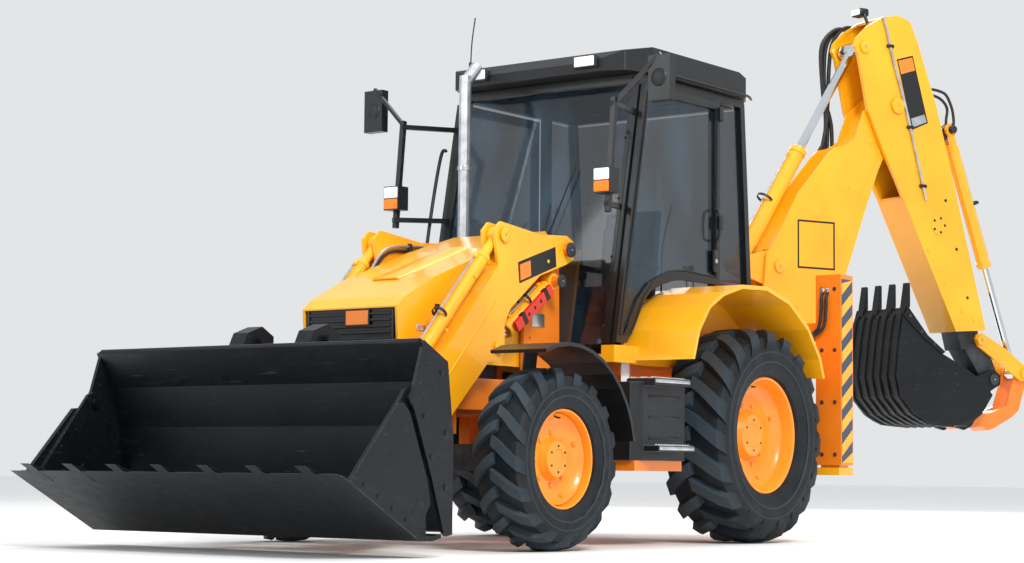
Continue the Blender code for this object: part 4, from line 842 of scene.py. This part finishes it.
def make_seat():
    pad = cushion("seat_cushion", (-0.225, -0.325, 1.520), (0.225, 0.095, 1.605), 0.0, 0.016, 14)
    cushion("seat_backrest", (-0.215, 0.125, 1.660), (0.215, 0.205, 2.120), -0.10, 0.014, 14)
    build = Build()
    build.prism([(0.135, 1.56), (0.175, 1.56), (0.248, 2.13), (0.238, 2.15), (0.20, 2.13)], -0.205,
        0.205, PLASTIC)
    build.block((-0.21, -0.30, 1.5005), (0.21, 0.16, 1.522), PLASTIC, 0.006)
    for sign in SIGNS:
        build.flank(sign, 0.215, 0.250, (-0.16, 1.745), (0.135, 1.785), PLASTIC, 0.012)
        build.turned((sign * 0.205, 0.155, 1.765), (sign, 0, 0),
            [(0, 0.022), (0.03, 0.022), (0.034, 0.012)], PLASTIC, 18)
    build.done("seat_shell", "seat", 0.003)
    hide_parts("seat")


make_seat()


# ---- steps, tanks, frame sides ----
def dress_steps():
    build = Build()
    for sign in SIGNS:
        for x_in, x_out, z in ((0.905, 1.098, 0.975), (0.905, 1.128, 0.585)):
            low = min(sign * x_in, sign * x_out)
            build.block((low, -1.175, z), (low + x_out - x_in, -0.805, z + 0.004), ALLOY, 0.002)
            for i in range(13):
                y = -1.165 + i * 0.028
                for k in range(3):
                    x = low + 0.02 + k * (x_out - x_in - 0.05) / 2
                    build.turned((x, y, z + 0.003), (0, 0, 1), [(0, 0.010), (0.006, 0.007),
                        (0.008, 0.005)], ALLOY, 8)
            build.flank(sign, x_out - 0.002, x_out + 0.003, (-1.175, z - 0.024),
                (-0.805, z - 0.004), ALLOY, 0.002)
        build.turned((sign * 0.72, -1.261, 0.86), (0, -1, 0),
            [(0, 0.045), (0.012, 0.045), (0.022, 0.040), (0.026, 0.020)], PLASTIC, 24)
        for z in (0.62, 0.74, 0.86):
            build.flank(sign, 1.018, 1.024, (-1.12, z), (-0.80, z + 0.02), PLASTIC, 0.002)
    build.done("step_treads", "chassis")


dress_steps()


def dress_stabilisers():
    build = Build()
    for sign in SIGNS:
        x0, x1 = sign * CASING_FACE, sign * 1.1765
        build.hull([[Vector((x, y, z)) for y, z in ((0.912, 0.505), (1.055, 0.505), (1.055, 1.705),
            (0.912, 1.705))] for x in (x0, x1)], BLUE)
        for i in range(9):
            z = 0.40 + i * 0.150
            corners = []
            for y, base in ((0.912, z), (1.055, z + 0.10), (1.055, z + 0.175), (0.912, z + 0.075)):
                corners.append((y, min(1.705, max(0.505, base))))
            if max(c[1] for c in corners) - min(c[1] for c in corners) < 0.03:
                continue
            x2, x3 = sign * 1.1760, sign * 1.1775
            build.hull([[Vector((x, y, zz)) for y, zz in corners] for x in (x2, x3)], YELLOW)
        for z in (0.56, 0.90, 1.24, 1.64):
            build.bolt((sign * 1.035, 0.900, z), (0, -1, 0), 0.010, GREY)
            build.bolt((sign * 1.130, 0.900, z), (0, -1, 0), 0.010, GREY)
        for k in range(2):
            x = sign * (1.045 + 0.035 * k)
            build.tube([(sign * (0.86 + 0.03 * k), 0.900, 1.39),
                (sign * (0.93 + 0.02 * k), 0.868, 1.33), (x - sign * 0.02, 0.868, 1.38),
                (x, 0.875, 1.50), (x, 0.878, 1.58), (x, 0.905, 1.63)], 0.011, HOSE, 10)
            build.turned((x, 0.903, 1.632), (0, -1, 0), [(0, 0.016), (0.016, 0.016), (0.02, 0.012)],
                ALLOY, 6)
        build.turned((sign * 1.0825, 0.9825, 1.730), (0, 0, 1),
            [(0, 0.030), (0.006, 0.030), (0.010, 0.022)], GREY)
    build.done("stabiliser_markings", "chassis")


dress_stabilisers()


# ---- loader ----
ARM_OUT = 0.504


def pin_cap(build, spot, sign, x, radius, finish=GREY):
    """A pin end with its keeper bolt."""
    build.turned((sign * x, spot[0], spot[1]), (sign, 0, 0),
        [(-0.002, radius), (0.006, radius), (0.009, radius * 0.86), (0.009, radius * 0.40),
        (0.006, radius * 0.34)], finish, 24)
    build.turned((sign * (x + 0.005), spot[0], spot[1]), (sign, 0, 0), [(0, 0.006), (0.008, 0.005)],
        ALLOY, 10)


def dress_arms():
    build = Build()
    for sign in SIGNS:
        plate = [(-1.715, 1.632), (-1.352, 1.752), (-1.340, 1.636), (-1.700, 1.510)]
        for shape, out, finish in ((plate, 0.0022, BLACK), ([(-1.700, 1.618), (-1.600, 1.651),
                (-1.592, 1.562), (-1.692, 1.527)], 0.0040, ORANGE)):
            x0, x1 = sign * (ARM_OUT - 0.001), sign * (ARM_OUT + out)
            build.hull([[Vector((x, y, z)) for y, z in shape] for x in (x0, x1)], finish)
        pin_cap(build, TILT_RAM_FOOT, sign, ARM_OUT + 0.012, 0.040, YELLOW)
        pin_cap(build, LIFT_EYE, sign, ARM_OUT + 0.012, 0.038, YELLOW)
        for y, z in ((-1.42, 1.660), (-1.80, 1.800), (-2.10, 1.52), (-2.36, 1.20), (-2.62, 0.86),
                (-2.86, 0.52)):
            build.turned((sign * ARM_OUT, y, z), (sign, 0, 0),
                [(0, 0.012), (0.003, 0.011), (0.004, 0.006)], YELLOW, 16)
        line = [(sign * (ARM_OUT - 0.002), y, z) for y, z in ((-1.93, 1.40), (-2.10, 1.21),
            (-2.35, 0.94), (-2.62, 0.62), (-2.86, 0.40), (-3.02, 0.26))]
        build.tube(line, 0.007, YELLOW, 8)
        inner = ARM_OUT - 0.106
        hard = [(sign * (inner - 0.010), y, z) for y, z in ((-1.36, 1.78), (-1.62, 1.77),
            (-1.86, 1.72), (-2.06, 1.46), (-2.30, 1.14), (-2.60, 0.74))]
        for k in range(2):
            shift = Vector((0, -0.010 * k, 0.026 * k - 0.02))
            build.tube([Vector(p) + shift for p in hard], 0.0085, ALLOY if k else HOSE, 8)
        for y, z in ((-1.62, 1.765), (-2.06, 1.46), (-2.42, 0.98)):
            build.flank(sign, inner - 0.022, inner, (y - 0.014, z - 0.045), (y + 0.014, z + 0.030),
                PLASTIC)
    for sign in SIGNS:
        build.turned((sign * 0.36, -2.74, 0.545), (sign, 0, 0),
            [(0, 0.073), (0.010, 0.075), (0.036, 0.075)], YELLOW, 28, True)
    build.done("arm_fittings", "loader_arms")
    build = Build()
    for sign in SIGNS:
        pin_cap(build, (-1.235, 1.742), sign, 0.534, 0.045, GREY)
        pin_cap(build, LIFT_RAM_FOOT, sign, 0.534, 0.038, GREY)
    build.done("arm_pins", "chassis")


def dress_ram(name, body, base, eye, begin, end, radius, offset):
    """Gland, base collar, ports and a hard line along a ram's barrel."""
    build = Build()
    base = Vector(base)
    eye = Vector(eye)
    way = (eye - base).normalized()
    offset = Vector(offset).normalized()
    build.turned(base + way * (end - 0.050), way, [(0, radius), (0.004, radius + 0.006),
        (0.040, radius + 0.006), (0.046, radius + 0.001)], YELLOW, 28, True)
    build.turned(base + way * (end - 0.011), way, [(0, radius - 0.002), (0.009, radius - 0.003),
        (0.0125, radius * 0.72), (0.0, radius * 0.72)], GREY, 28, True)
    build.turned(base + way * (begin + 0.010), way, [(0, radius), (0.003, radius + 0.004),
        (0.022, radius + 0.004), (0.026, radius)], YELLOW, 28, True)
    spot_low = base + way * (begin + 0.055) + offset * radius
    spot_high = base + way * (end - 0.085) + offset * radius
    for spot in (spot_low, spot_high):
        build.turned(spot - offset * 0.006, offset, [(0, 0.015), (0.020, 0.015), (0.024, 0.011)],
            YELLOW, 14)
    line = [spot_high + offset * 0.008, spot_high + offset * 0.016 - way * 0.02,
        spot_high + offset * 0.012 - way * 0.06, spot_low + offset * 0.012 + way * 0.10,
        spot_low + offset * 0.012 + way * 0.03]
    build.tube(line, 0.0065, ALLOY, 8)
    middle = (spot_low + spot_high) / 2
    build.turned(middle - way * 0.010, way, [(0, radius), (0.001, radius + 0.003),
        (0.019, radius + 0.003), (0.020, radius)], BLACK, 28, True)
    build.done(name, body)


def dress_loader_rams():
    for side, sign in SIDES:
        x = sign * 0.451
        base, eye = Vector((x, *LIFT_RAM_FOOT)), Vector((x, *LIFT_EYE))
        dress_ram("lift_ram_fittings_" + side, "lift_barrel_" + side, base, eye, 0.06,
            0.76 * (eye - base).length, 0.045, (0, -0.59, 0.81))
        base, tilt_eye = Vector((x, *TILT_RAM_FOOT)), Vector((x, *TILT_EYE))
        along = (tilt_eye - base).normalized()
        above = Vector((0, along.z, -along.y))
        if above.z < 0:
            above = -above
        dress_ram("tilt_ram_fittings_" + side, "tilt_barrel_" + side, base, tilt_eye, 0.17,
            0.80 * (tilt_eye - base).length, 0.042, above)
    build = Build()
    start = Vector((0.5215, -1.415, 1.500))
    way = Vector((0, -0.8075, -0.5898)).normalized()
    over = Vector((0, -way.z, way.y))
    for reach0, reach1, half, x0, x1, finish in ((0.0, 0.42, 0.030, 0.511, 0.534, RED),
            (0.05, 0.085, 0.034, 0.508, 0.537, BLACK), (0.31, 0.345, 0.034, 0.508, 0.537, BLACK)):
        rings = []
        for x in (x0, x1):
            corners = []
            for reach, up in ((reach0, -half), (reach1, -half), (reach1, half), (reach0, half)):
                point = start + way * reach + over * up
                corners.append(Vector((x, point.y, point.z)))
            rings.append(corners)
        build.hull(rings, finish)
    for reach in (0.14, 0.21, 0.28):
        point = start + way * reach
        build.turned((0.534, point.y, point.z), (1, 0, 0), [(0, 0.012), (0.0015, 0.011),
            (0.002, 0.004)], BLACK, 16)
    build.done("safety_strut", "lift_barrel_left", 0.003)


dress_arms()
dress_loader_rams()


def dress_shovel():
    build = Build()
    for i in range(9):
        x = -1.04 + i * 0.26
        build.turned((x, -3.377, 1.062), (0, 0.1, 1), [(0, 0.012), (0.006, 0.011), (0.008, 0.006)],
            STEEL, 12)
    build.tube([(-1.150, -3.372, 1.068), (0.0, -3.372, 1.068), (1.150, -3.372, 1.068)], 0.017,
        STEEL, 12, 1)
    for x in (-0.86, -0.66, 0.0, 0.66, 0.86):
        outline = [(-3.196, 0.16), (-3.165, 0.30), (-3.175, 0.62), (-3.235, 0.86), (-3.345, 1.05),
            (-3.372, 1.056), (-3.260, 0.86), (-3.206, 0.64), (-3.181, 0.40)]
        build.prism(outline, x - 0.009, x + 0.009, STEEL)
    for sign in SIGNS:
        pin_cap(build, SHOVEL_PIN, sign, 0.536, 0.040, GREY)
        pin_cap(build, TILT_EYE, sign, 0.536, 0.038, GREY)
        for y, z in ((-3.23, 0.92), (-3.19, 0.62), (-3.19, 0.35), (-3.30, 0.50), (-3.36, 0.70)):
            build.turned((sign * 1.1745, y, z), (sign, 0, 0),
                [(0, 0.016), (0.004, 0.015), (0.006, 0.008)], STEEL, 14)
        build.turned((sign * 0.24, -3.04, 1.11), (0, 0, 1),
            [(-0.02, 0.0), (0.0, 0.030), (0.02, 0.0)], GREY, 12)
    build.done("mouldboard_fittings", "shovel")
    build = Build()
    heel, blade = Vector((-3.385, 0.085)), Vector((-3.965, 0.400))
    way = (blade - heel).normalized()
    rise = Vector((-way.y, way.x))
    if rise.y < 0:
        rise = -rise
    edge = [blade - way * 0.13 + rise * 0.0335, blade - way * 0.13 + rise * 0.022,
        blade - way * 0.01 + rise * 0.006, blade - way * 0.01 + rise * 0.018]
    build.prism([tuple(p) for p in edge], -1.128, 1.128, GREASED)
    for i in range(7):
        x = -0.98 + i * 1.96 / 6
        for dx in (-0.018, 0.018):
            spot = blade - way * 0.075 + rise * 0.030
            build.turned((x + dx, spot.x, spot.y), (0, rise.x, rise.y),
                [(-0.004, 0.011), (0.004, 0.010), (0.006, 0.005)], GREASED, 10)
    for sign in SIGNS:
        build.turned((sign * 1.1745, -3.44, 0.785), (sign, 0, 0),
            [(-0.004, 0.040), (0.003, 0.038), (0.004, 0.020)], STEEL, 24)
        for reach in (0.14, 0.26, 0.38, 0.50):
            spot = heel + way * reach + rise * 0.045
            build.turned((sign * 1.1745, spot.x, spot.y), (sign, 0, 0),
                [(-0.002, 0.014), (0.003, 0.013), (0.004, 0.006)], STEEL, 12)
    build.done("clam_fittings", "clam")


dress_shovel()


# ---- digger ----
def dig_plate(build, outline, near, far, finish):
    build.hull([[dig(x, r, z) for r, z in outline] for x in (near, far)], finish)


def dig_cap(build, spot, across, radius, finish):
    way = ACROSS * (1 if across > 0 else -1)
    centre = dig(across, spot[0], spot[1])
    build.turned(centre, way, [(-0.002, radius), (0.008, radius), (0.012, radius * 0.84),
        (0.012, radius * 0.4), (0.008, radius * 0.34)], finish, 28)
    build.turned(centre + way * 0.006, way, [(0, 0.007), (0.010, 0.006)], ALLOY, 10)


def dress_boom():
    build = Build()
    frame_out = [(0.50, 1.90), (0.50, 2.25), (0.84, 2.25), (0.84, 1.90)]
    frame_in = [(0.513, 1.913), (0.513, 2.237), (0.827, 2.237), (0.827, 1.913)]
    for across in (1, -1):
        near, far = across * 0.1045, across * 0.1068
        for i in range(4):
            j = (i + 1) % 4
            dig_plate(build, [frame_out[i], frame_out[j], frame_in[j], frame_in[i]], near, far,
                BLACK)
        dig_cap(build, (0.335, 1.90), across * 0.111, 0.045, YELLOW)
        weld = [(0.32, 0.86), (0.56, 1.20), (0.74, 1.58), (0.86, 1.95), (1.02, 2.33), (1.20, 2.70),
            (1.36, 2.98)]
        build.tube([dig(across * 0.104, r, z) for r, z in weld], 0.005, YELLOW, 8)
        for r, z in ((0.36, 1.30), (0.50, 1.62), (0.98, 2.52), (1.18, 2.86), (1.30, 3.06)):
            build.turned(dig(across * 0.105, r, z), ACROSS * across,
                [(0, 0.013), (0.004, 0.012), (0.005, 0.006)], YELLOW, 14)
    for k, across in enumerate(HOSE_LANES):
        drop = 0.030 * k
        route = [(0.34 + drop, 1.10), (0.33 + drop, 1.45), (0.40 + drop, 1.90),
            (0.60 + drop, 2.34 - drop), (0.82 + drop, 2.66 - drop), (0.96 + drop, 2.86 - drop)]
        build.tube([dig(across, r, z) for r, z in route], HOSE_RADIUS, HOSE, 10)
    for r, z in ((0.385, 1.46), (0.66, 2.33)):
        build.block((-0.218, r - 0.020, z - 0.075), (-0.100, r + 0.100, z - 0.045), PLASTIC, 0.004,
            dig)
    build.done("boom_fittings", "boom")


def dress_knuckle():
    """Hoses that cross the knuckle, curved between boom and dipper."""
    for k, across in enumerate(HOSE_LANES):
        bulge = 0.030 * k
        build = Build()
        route = [(0.960 + bulge, 2.86 - bulge), (0.995 + bulge * 0.5, 3.02),
            (1.010 - bulge * 0.3, 3.20), (1.020 - bulge * 0.8, 3.42), (1.050 - bulge, 3.62),
            (1.140 - bulge * 0.5, 3.745), (1.250, 3.770 - bulge * 0.5), (1.350, 3.700 - bulge),
            (1.410, 3.580 - bulge)]
        points = [dig(across if i < 8 else across + 0.035, r, z) for i, (r, z) in enumerate(route)]
        build.tube(points, HOSE_RADIUS, HOSE, 10, 6)
        item = build.done("knuckle_hose_%d" % (k + 1), None)
        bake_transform(item)


def dress_dipper():
    build = Build()
    for across in (1, -1):
        near, far = across * 0.1445, across * 0.1470
        plate = [(1.400, 3.500), (1.555, 3.545), (1.700, 3.050), (1.545, 2.985)]
        dig_plate(build, plate, near, far, BLACK)
        top = [(1.412, 3.490), (1.548, 3.530), (1.575, 3.435), (1.440, 3.392)]
        dig_plate(build, top, near, across * 0.1485, ORANGE)
        low = [(1.534, 3.068), (1.664, 3.112), (1.686, 3.056), (1.553, 3.004)]
        dig_plate(build, low, near, across * 0.1485, ALLOY if across > 0 else BLACK)
        dig_cap(build, (1.40, 3.15), across * 0.157, 0.058, YELLOW)
        dig_cap(build, KNUCKLE_PIN, across * 0.153, 0.044, YELLOW)
        for r, z in ((1.60, 2.69), (1.42, 2.62), (1.70, 2.10), (1.86, 1.86), (2.02, 1.66),
                (2.14, 1.60)):
            build.turned(dig(across * 0.145, r, z), ACROSS * across,
                [(0, 0.015), (0.005, 0.014), (0.006, 0.006)], YELLOW, 16)
        ring = dig(across * 0.1445, 1.800, 2.290)
        build.turned(ring, ACROSS * across, [(0, 0.075), (0.006, 0.073), (0.007, 0.040),
            (0.004, 0.036)], YELLOW, 28)
        for i in range(5):
            turn = 2 * math.pi * i / 5
            build.bolt(dig(across * 0.150, 1.800 + 0.055 * math.cos(turn),
                2.290 + 0.055 * math.sin(turn)), ACROSS * across, 0.008, GREY)
        for i in range(3):
            reach = 1.90 + 0.105 * i
            z = 2.48 - 0.36 * i
            build.bolt(dig(across * 0.145, reach - 0.03, z), ACROSS * across, 0.009, GREY)
    pipe = [(1.262, 3.800), (1.300, 3.700), (1.357, 3.489), (1.470, 3.163), (1.565, 2.834),
        (1.650, 2.530), (1.668, 2.470)]
    build.tube([dig(0.156, r, z) for r, z in pipe], 0.011, ALLOY, 12)
    for r, z in ((1.330, 3.590), (1.520, 3.000), (1.640, 2.570)):
        build.block((0.143, r - 0.030, z - 0.012), (0.170, r + 0.030, z + 0.012), PLASTIC, 0.004,
            dig)
    build.tube([dig(0.10, 1.16, 3.752), dig(0.085, 1.15, 3.80), dig(0.05, 1.17, 3.835)], 0.012,
        PLASTIC, 10)
    build.block((-0.045, 1.120, 3.815), (0.070, 1.205, 3.872), PLASTIC, 0.010, dig)
    build.block((-0.035, 1.112, 3.822), (0.060, 1.124, 3.865), LAMP, 0.004, dig)
    build.done("dipper_fittings", "dipper")

    build = Build()
    for k in range(2):
        shift = 0.03 * k
        loop = [(1.800, 3.330 - shift), (1.880, 3.325 - shift), (1.960, 3.300 - shift),
            (2.015, 3.210), (2.035 - shift, 3.120), (2.030 - shift, 3.050)]
        build.tube([dig(0.058 - 0.05 * k, r, z) for r, z in loop], 0.011, HOSE, 10)
    build.done("bucket_ram_hoses", "extension")


def dress_digger_rams():
    def at(point):
        return dig(0.0, point[0], point[1])

    away = dig(0.0, -1.0, 0.60) - dig(0.0, 0.0, 0.0)
    length = (Vector(KNUCKLE_PIN) - Vector(DIPPER_RAM_FOOT)).length
    dress_ram("dipper_ram_fittings", "dipper_barrel", at(DIPPER_RAM_FOOT), at(KNUCKLE_PIN), 0.09,
        0.53 * length, 0.058, away)
    length = (Vector(LEVER_EYE) - Vector(BUCKET_RAM_FOOT)).length
    away = dig(0.0, 0.94, 0.34) - dig(0.0, 0.0, 0.0)
    dress_ram("bucket_ram_fittings", "bucket_barrel", at(BUCKET_RAM_FOOT), at(LEVER_EYE), 0.125,
        0.56 * length, 0.050, away)


def offset_line(line, distance):
    """The polyline moved to its left-hand side."""
    moved = []
    for i, point in enumerate(line):
        ahead = (Vector(line[min(i + 1, len(line) - 1)]) - Vector(line[max(i - 1, 0)])).normalized()
        moved.append(Vector(point) + Vector((-ahead.y, ahead.x)) * distance)
    return moved


def dress_bucket():
    build = Build()
    back = [(1.350, 1.600), (1.330, 1.560), (1.300, 1.40), (1.282, 1.25), (1.270, 1.15),
        (1.284, 1.07), (1.306, 1.00), (1.365, 0.935), (1.430, 0.875), (1.500, 0.84), (1.575, 0.812),
        (1.70, 0.803), (1.837, 0.795)]
    outer = offset_line(back, -0.011)
    for i in range(7):
        x = -0.246 + i * 0.082
        rings = []
        for near, far in zip(back, outer):
            rings.append([dig(x - 0.013, near[0], near[1]), dig(x - 0.010, far.x, far.y),
                dig(x + 0.010, far.x, far.y), dig(x + 0.013, near[0], near[1])])
        build.hull(rings, STEEL)
    for across in (1, -1):
        side = [(1.372, 1.655), (1.345, 1.575), (1.52, 1.43), (1.70, 1.318), (1.73, 1.335),
            (1.56, 1.452)]
        dig_plate(build, side, across * 0.2795, across * 0.288, STEEL)
        for r, z in ((1.39, 1.585), (1.50, 1.475), (1.62, 1.390)):
            build.bolt(dig(across * 0.287, r, z), ACROSS * across, 0.010, GREY)
        dig_cap(build, (2.360, 1.155), across * 0.124, 0.042, GREY)
        dig_cap(build, (2.060, 0.835), across * 0.124, 0.042, GREY)
    for i in range(4):
        x = -0.235 + i * 0.47 / 3
        build.bolt(dig(x, 1.343, 1.61), -OUT, 0.009, GREY)
    build.done("bucket_wear_strips", "bucket")
    build = Build()
    for across in (1, -1):
        dig_cap(build, (2.235, 1.450), across * 0.124, 0.040, YELLOW)
    build.done("lever_pins", "extension")
    build = Build()
    for across in (1, -1):
        dig_cap(build, LEVER_EYE, across * 0.124, 0.042, YELLOW)
    build.done("lever_eye_caps", "lever")


def dress_post():
    build = Build()
    for x in (-0.255, -0.17, 0.17, 0.255):
        for z in (0.567, 1.453):
            build.bolt((x, 1.087, z), (0, 1, 0), 0.013, GREY)
    for k in range(4):
        x = -0.22 + 0.034 * k
        build.tube([(x, 1.095, 0.70), (x, 1.13, 0.78), (x, 1.14, 1.05), (x + 0.01, 1.13, 1.34),
            (x + 0.02, 1.085, 1.44)], 0.011, HOSE, 10)
    build.turned((0, 1.48, 0.502), (0, 0, -1), [(0, 0.10), (0.004, 0.098), (0.005, 0.055)], ORANGE,
        28, True)
    build.done("carriage_fittings", "carriage")
    build = Build()
    for across in (1, -1):
        dig_cap(build, (0.30, 0.78), across * 0.125, 0.052, GREY)
    build.done("kingpost_caps", "kingpost")
    build = Build()
    build.block((-0.19, 0.908, 1.16), (0.19, 0.914, 1.27), ALLOY, 0.003)
    for sign in SIGNS:
        for z in (0.675, 1.36):
            for x in (0.42, 0.62, 0.82):
                build.bolt((sign * x, 0.904, z), (0, -1, 0), 0.010, GREY)
    build.done("rear_frame_fittings", "chassis")


dress_boom()
dress_knuckle()
dress_dipper()
dress_digger_rams()
dress_bucket()
dress_post()


# ---- stage ----
def add_stage():
    build = Build()
    build.hull([[Vector((-60, -60, -0.02)), Vector((60, -60, -0.02)), Vector((60, 60, -0.02)),
        Vector((-60, 60, -0.02))], [Vector((-60, -60, 0.0)), Vector((60, -60, 0.0)),
        Vector((60, 60, 0.0)), Vector((-60, 60, 0.0))]], PALE)
    bmesh.ops.recalc_face_normals(build.work, faces=build.work.faces)
    mesh = bpy.data.meshes.new("floor")
    build.work.to_mesh(mesh)
    build.work.free()
    mesh.materials.append(PALE)
    placed("floor", mesh)


def add_light(name, at, aim, size, power, tint=(1, 1, 1)):
    data = bpy.data.lights.new(name, "AREA")
    data.shape = "DISK"
    data.size = size
    data.energy = power
    data.color = tint
    item = placed(name, data)
    item.location = at
    item.rotation_euler = (Vector(aim) - Vector(at)).to_track_quat("-Z", "Y").to_euler()


PALE = plain("pale_floor", rgb(246, 246, 246), rgb(240, 240, 240), 0.75, 0.0, 6.0, 0.02)
add_stage()
add_light("key", (9.0, -7.0, 9.5), (0.0, -0.4, 1.2), 3.5, 1250.0, (1.0, 0.98, 0.95))
add_light("front_fill", (-5.0, -12.0, 6.0), (0.0, -1.0, 1.2), 6.0, 260.0, (0.94, 0.97, 1.0))
add_light("top", (0.5, 2.0, 10.0), (0.0, 0.5, 1.0), 6.0, 420.0)
add_light("back_rim", (-4.0, 10.0, 6.0), (0.0, 0.5, 1.4), 5.0, 420.0)
world = bpy.data.worlds.new("studio")
bpy.context.scene.world = world
world.use_nodes = True
world.node_tree.nodes["Background"].inputs["Color"].default_value = (0.96, 0.98, 1.0, 1.0)
world.node_tree.nodes["Background"].inputs["Strength"].default_value = 0.80
bpy.context.scene.view_settings.view_transform = "Standard"
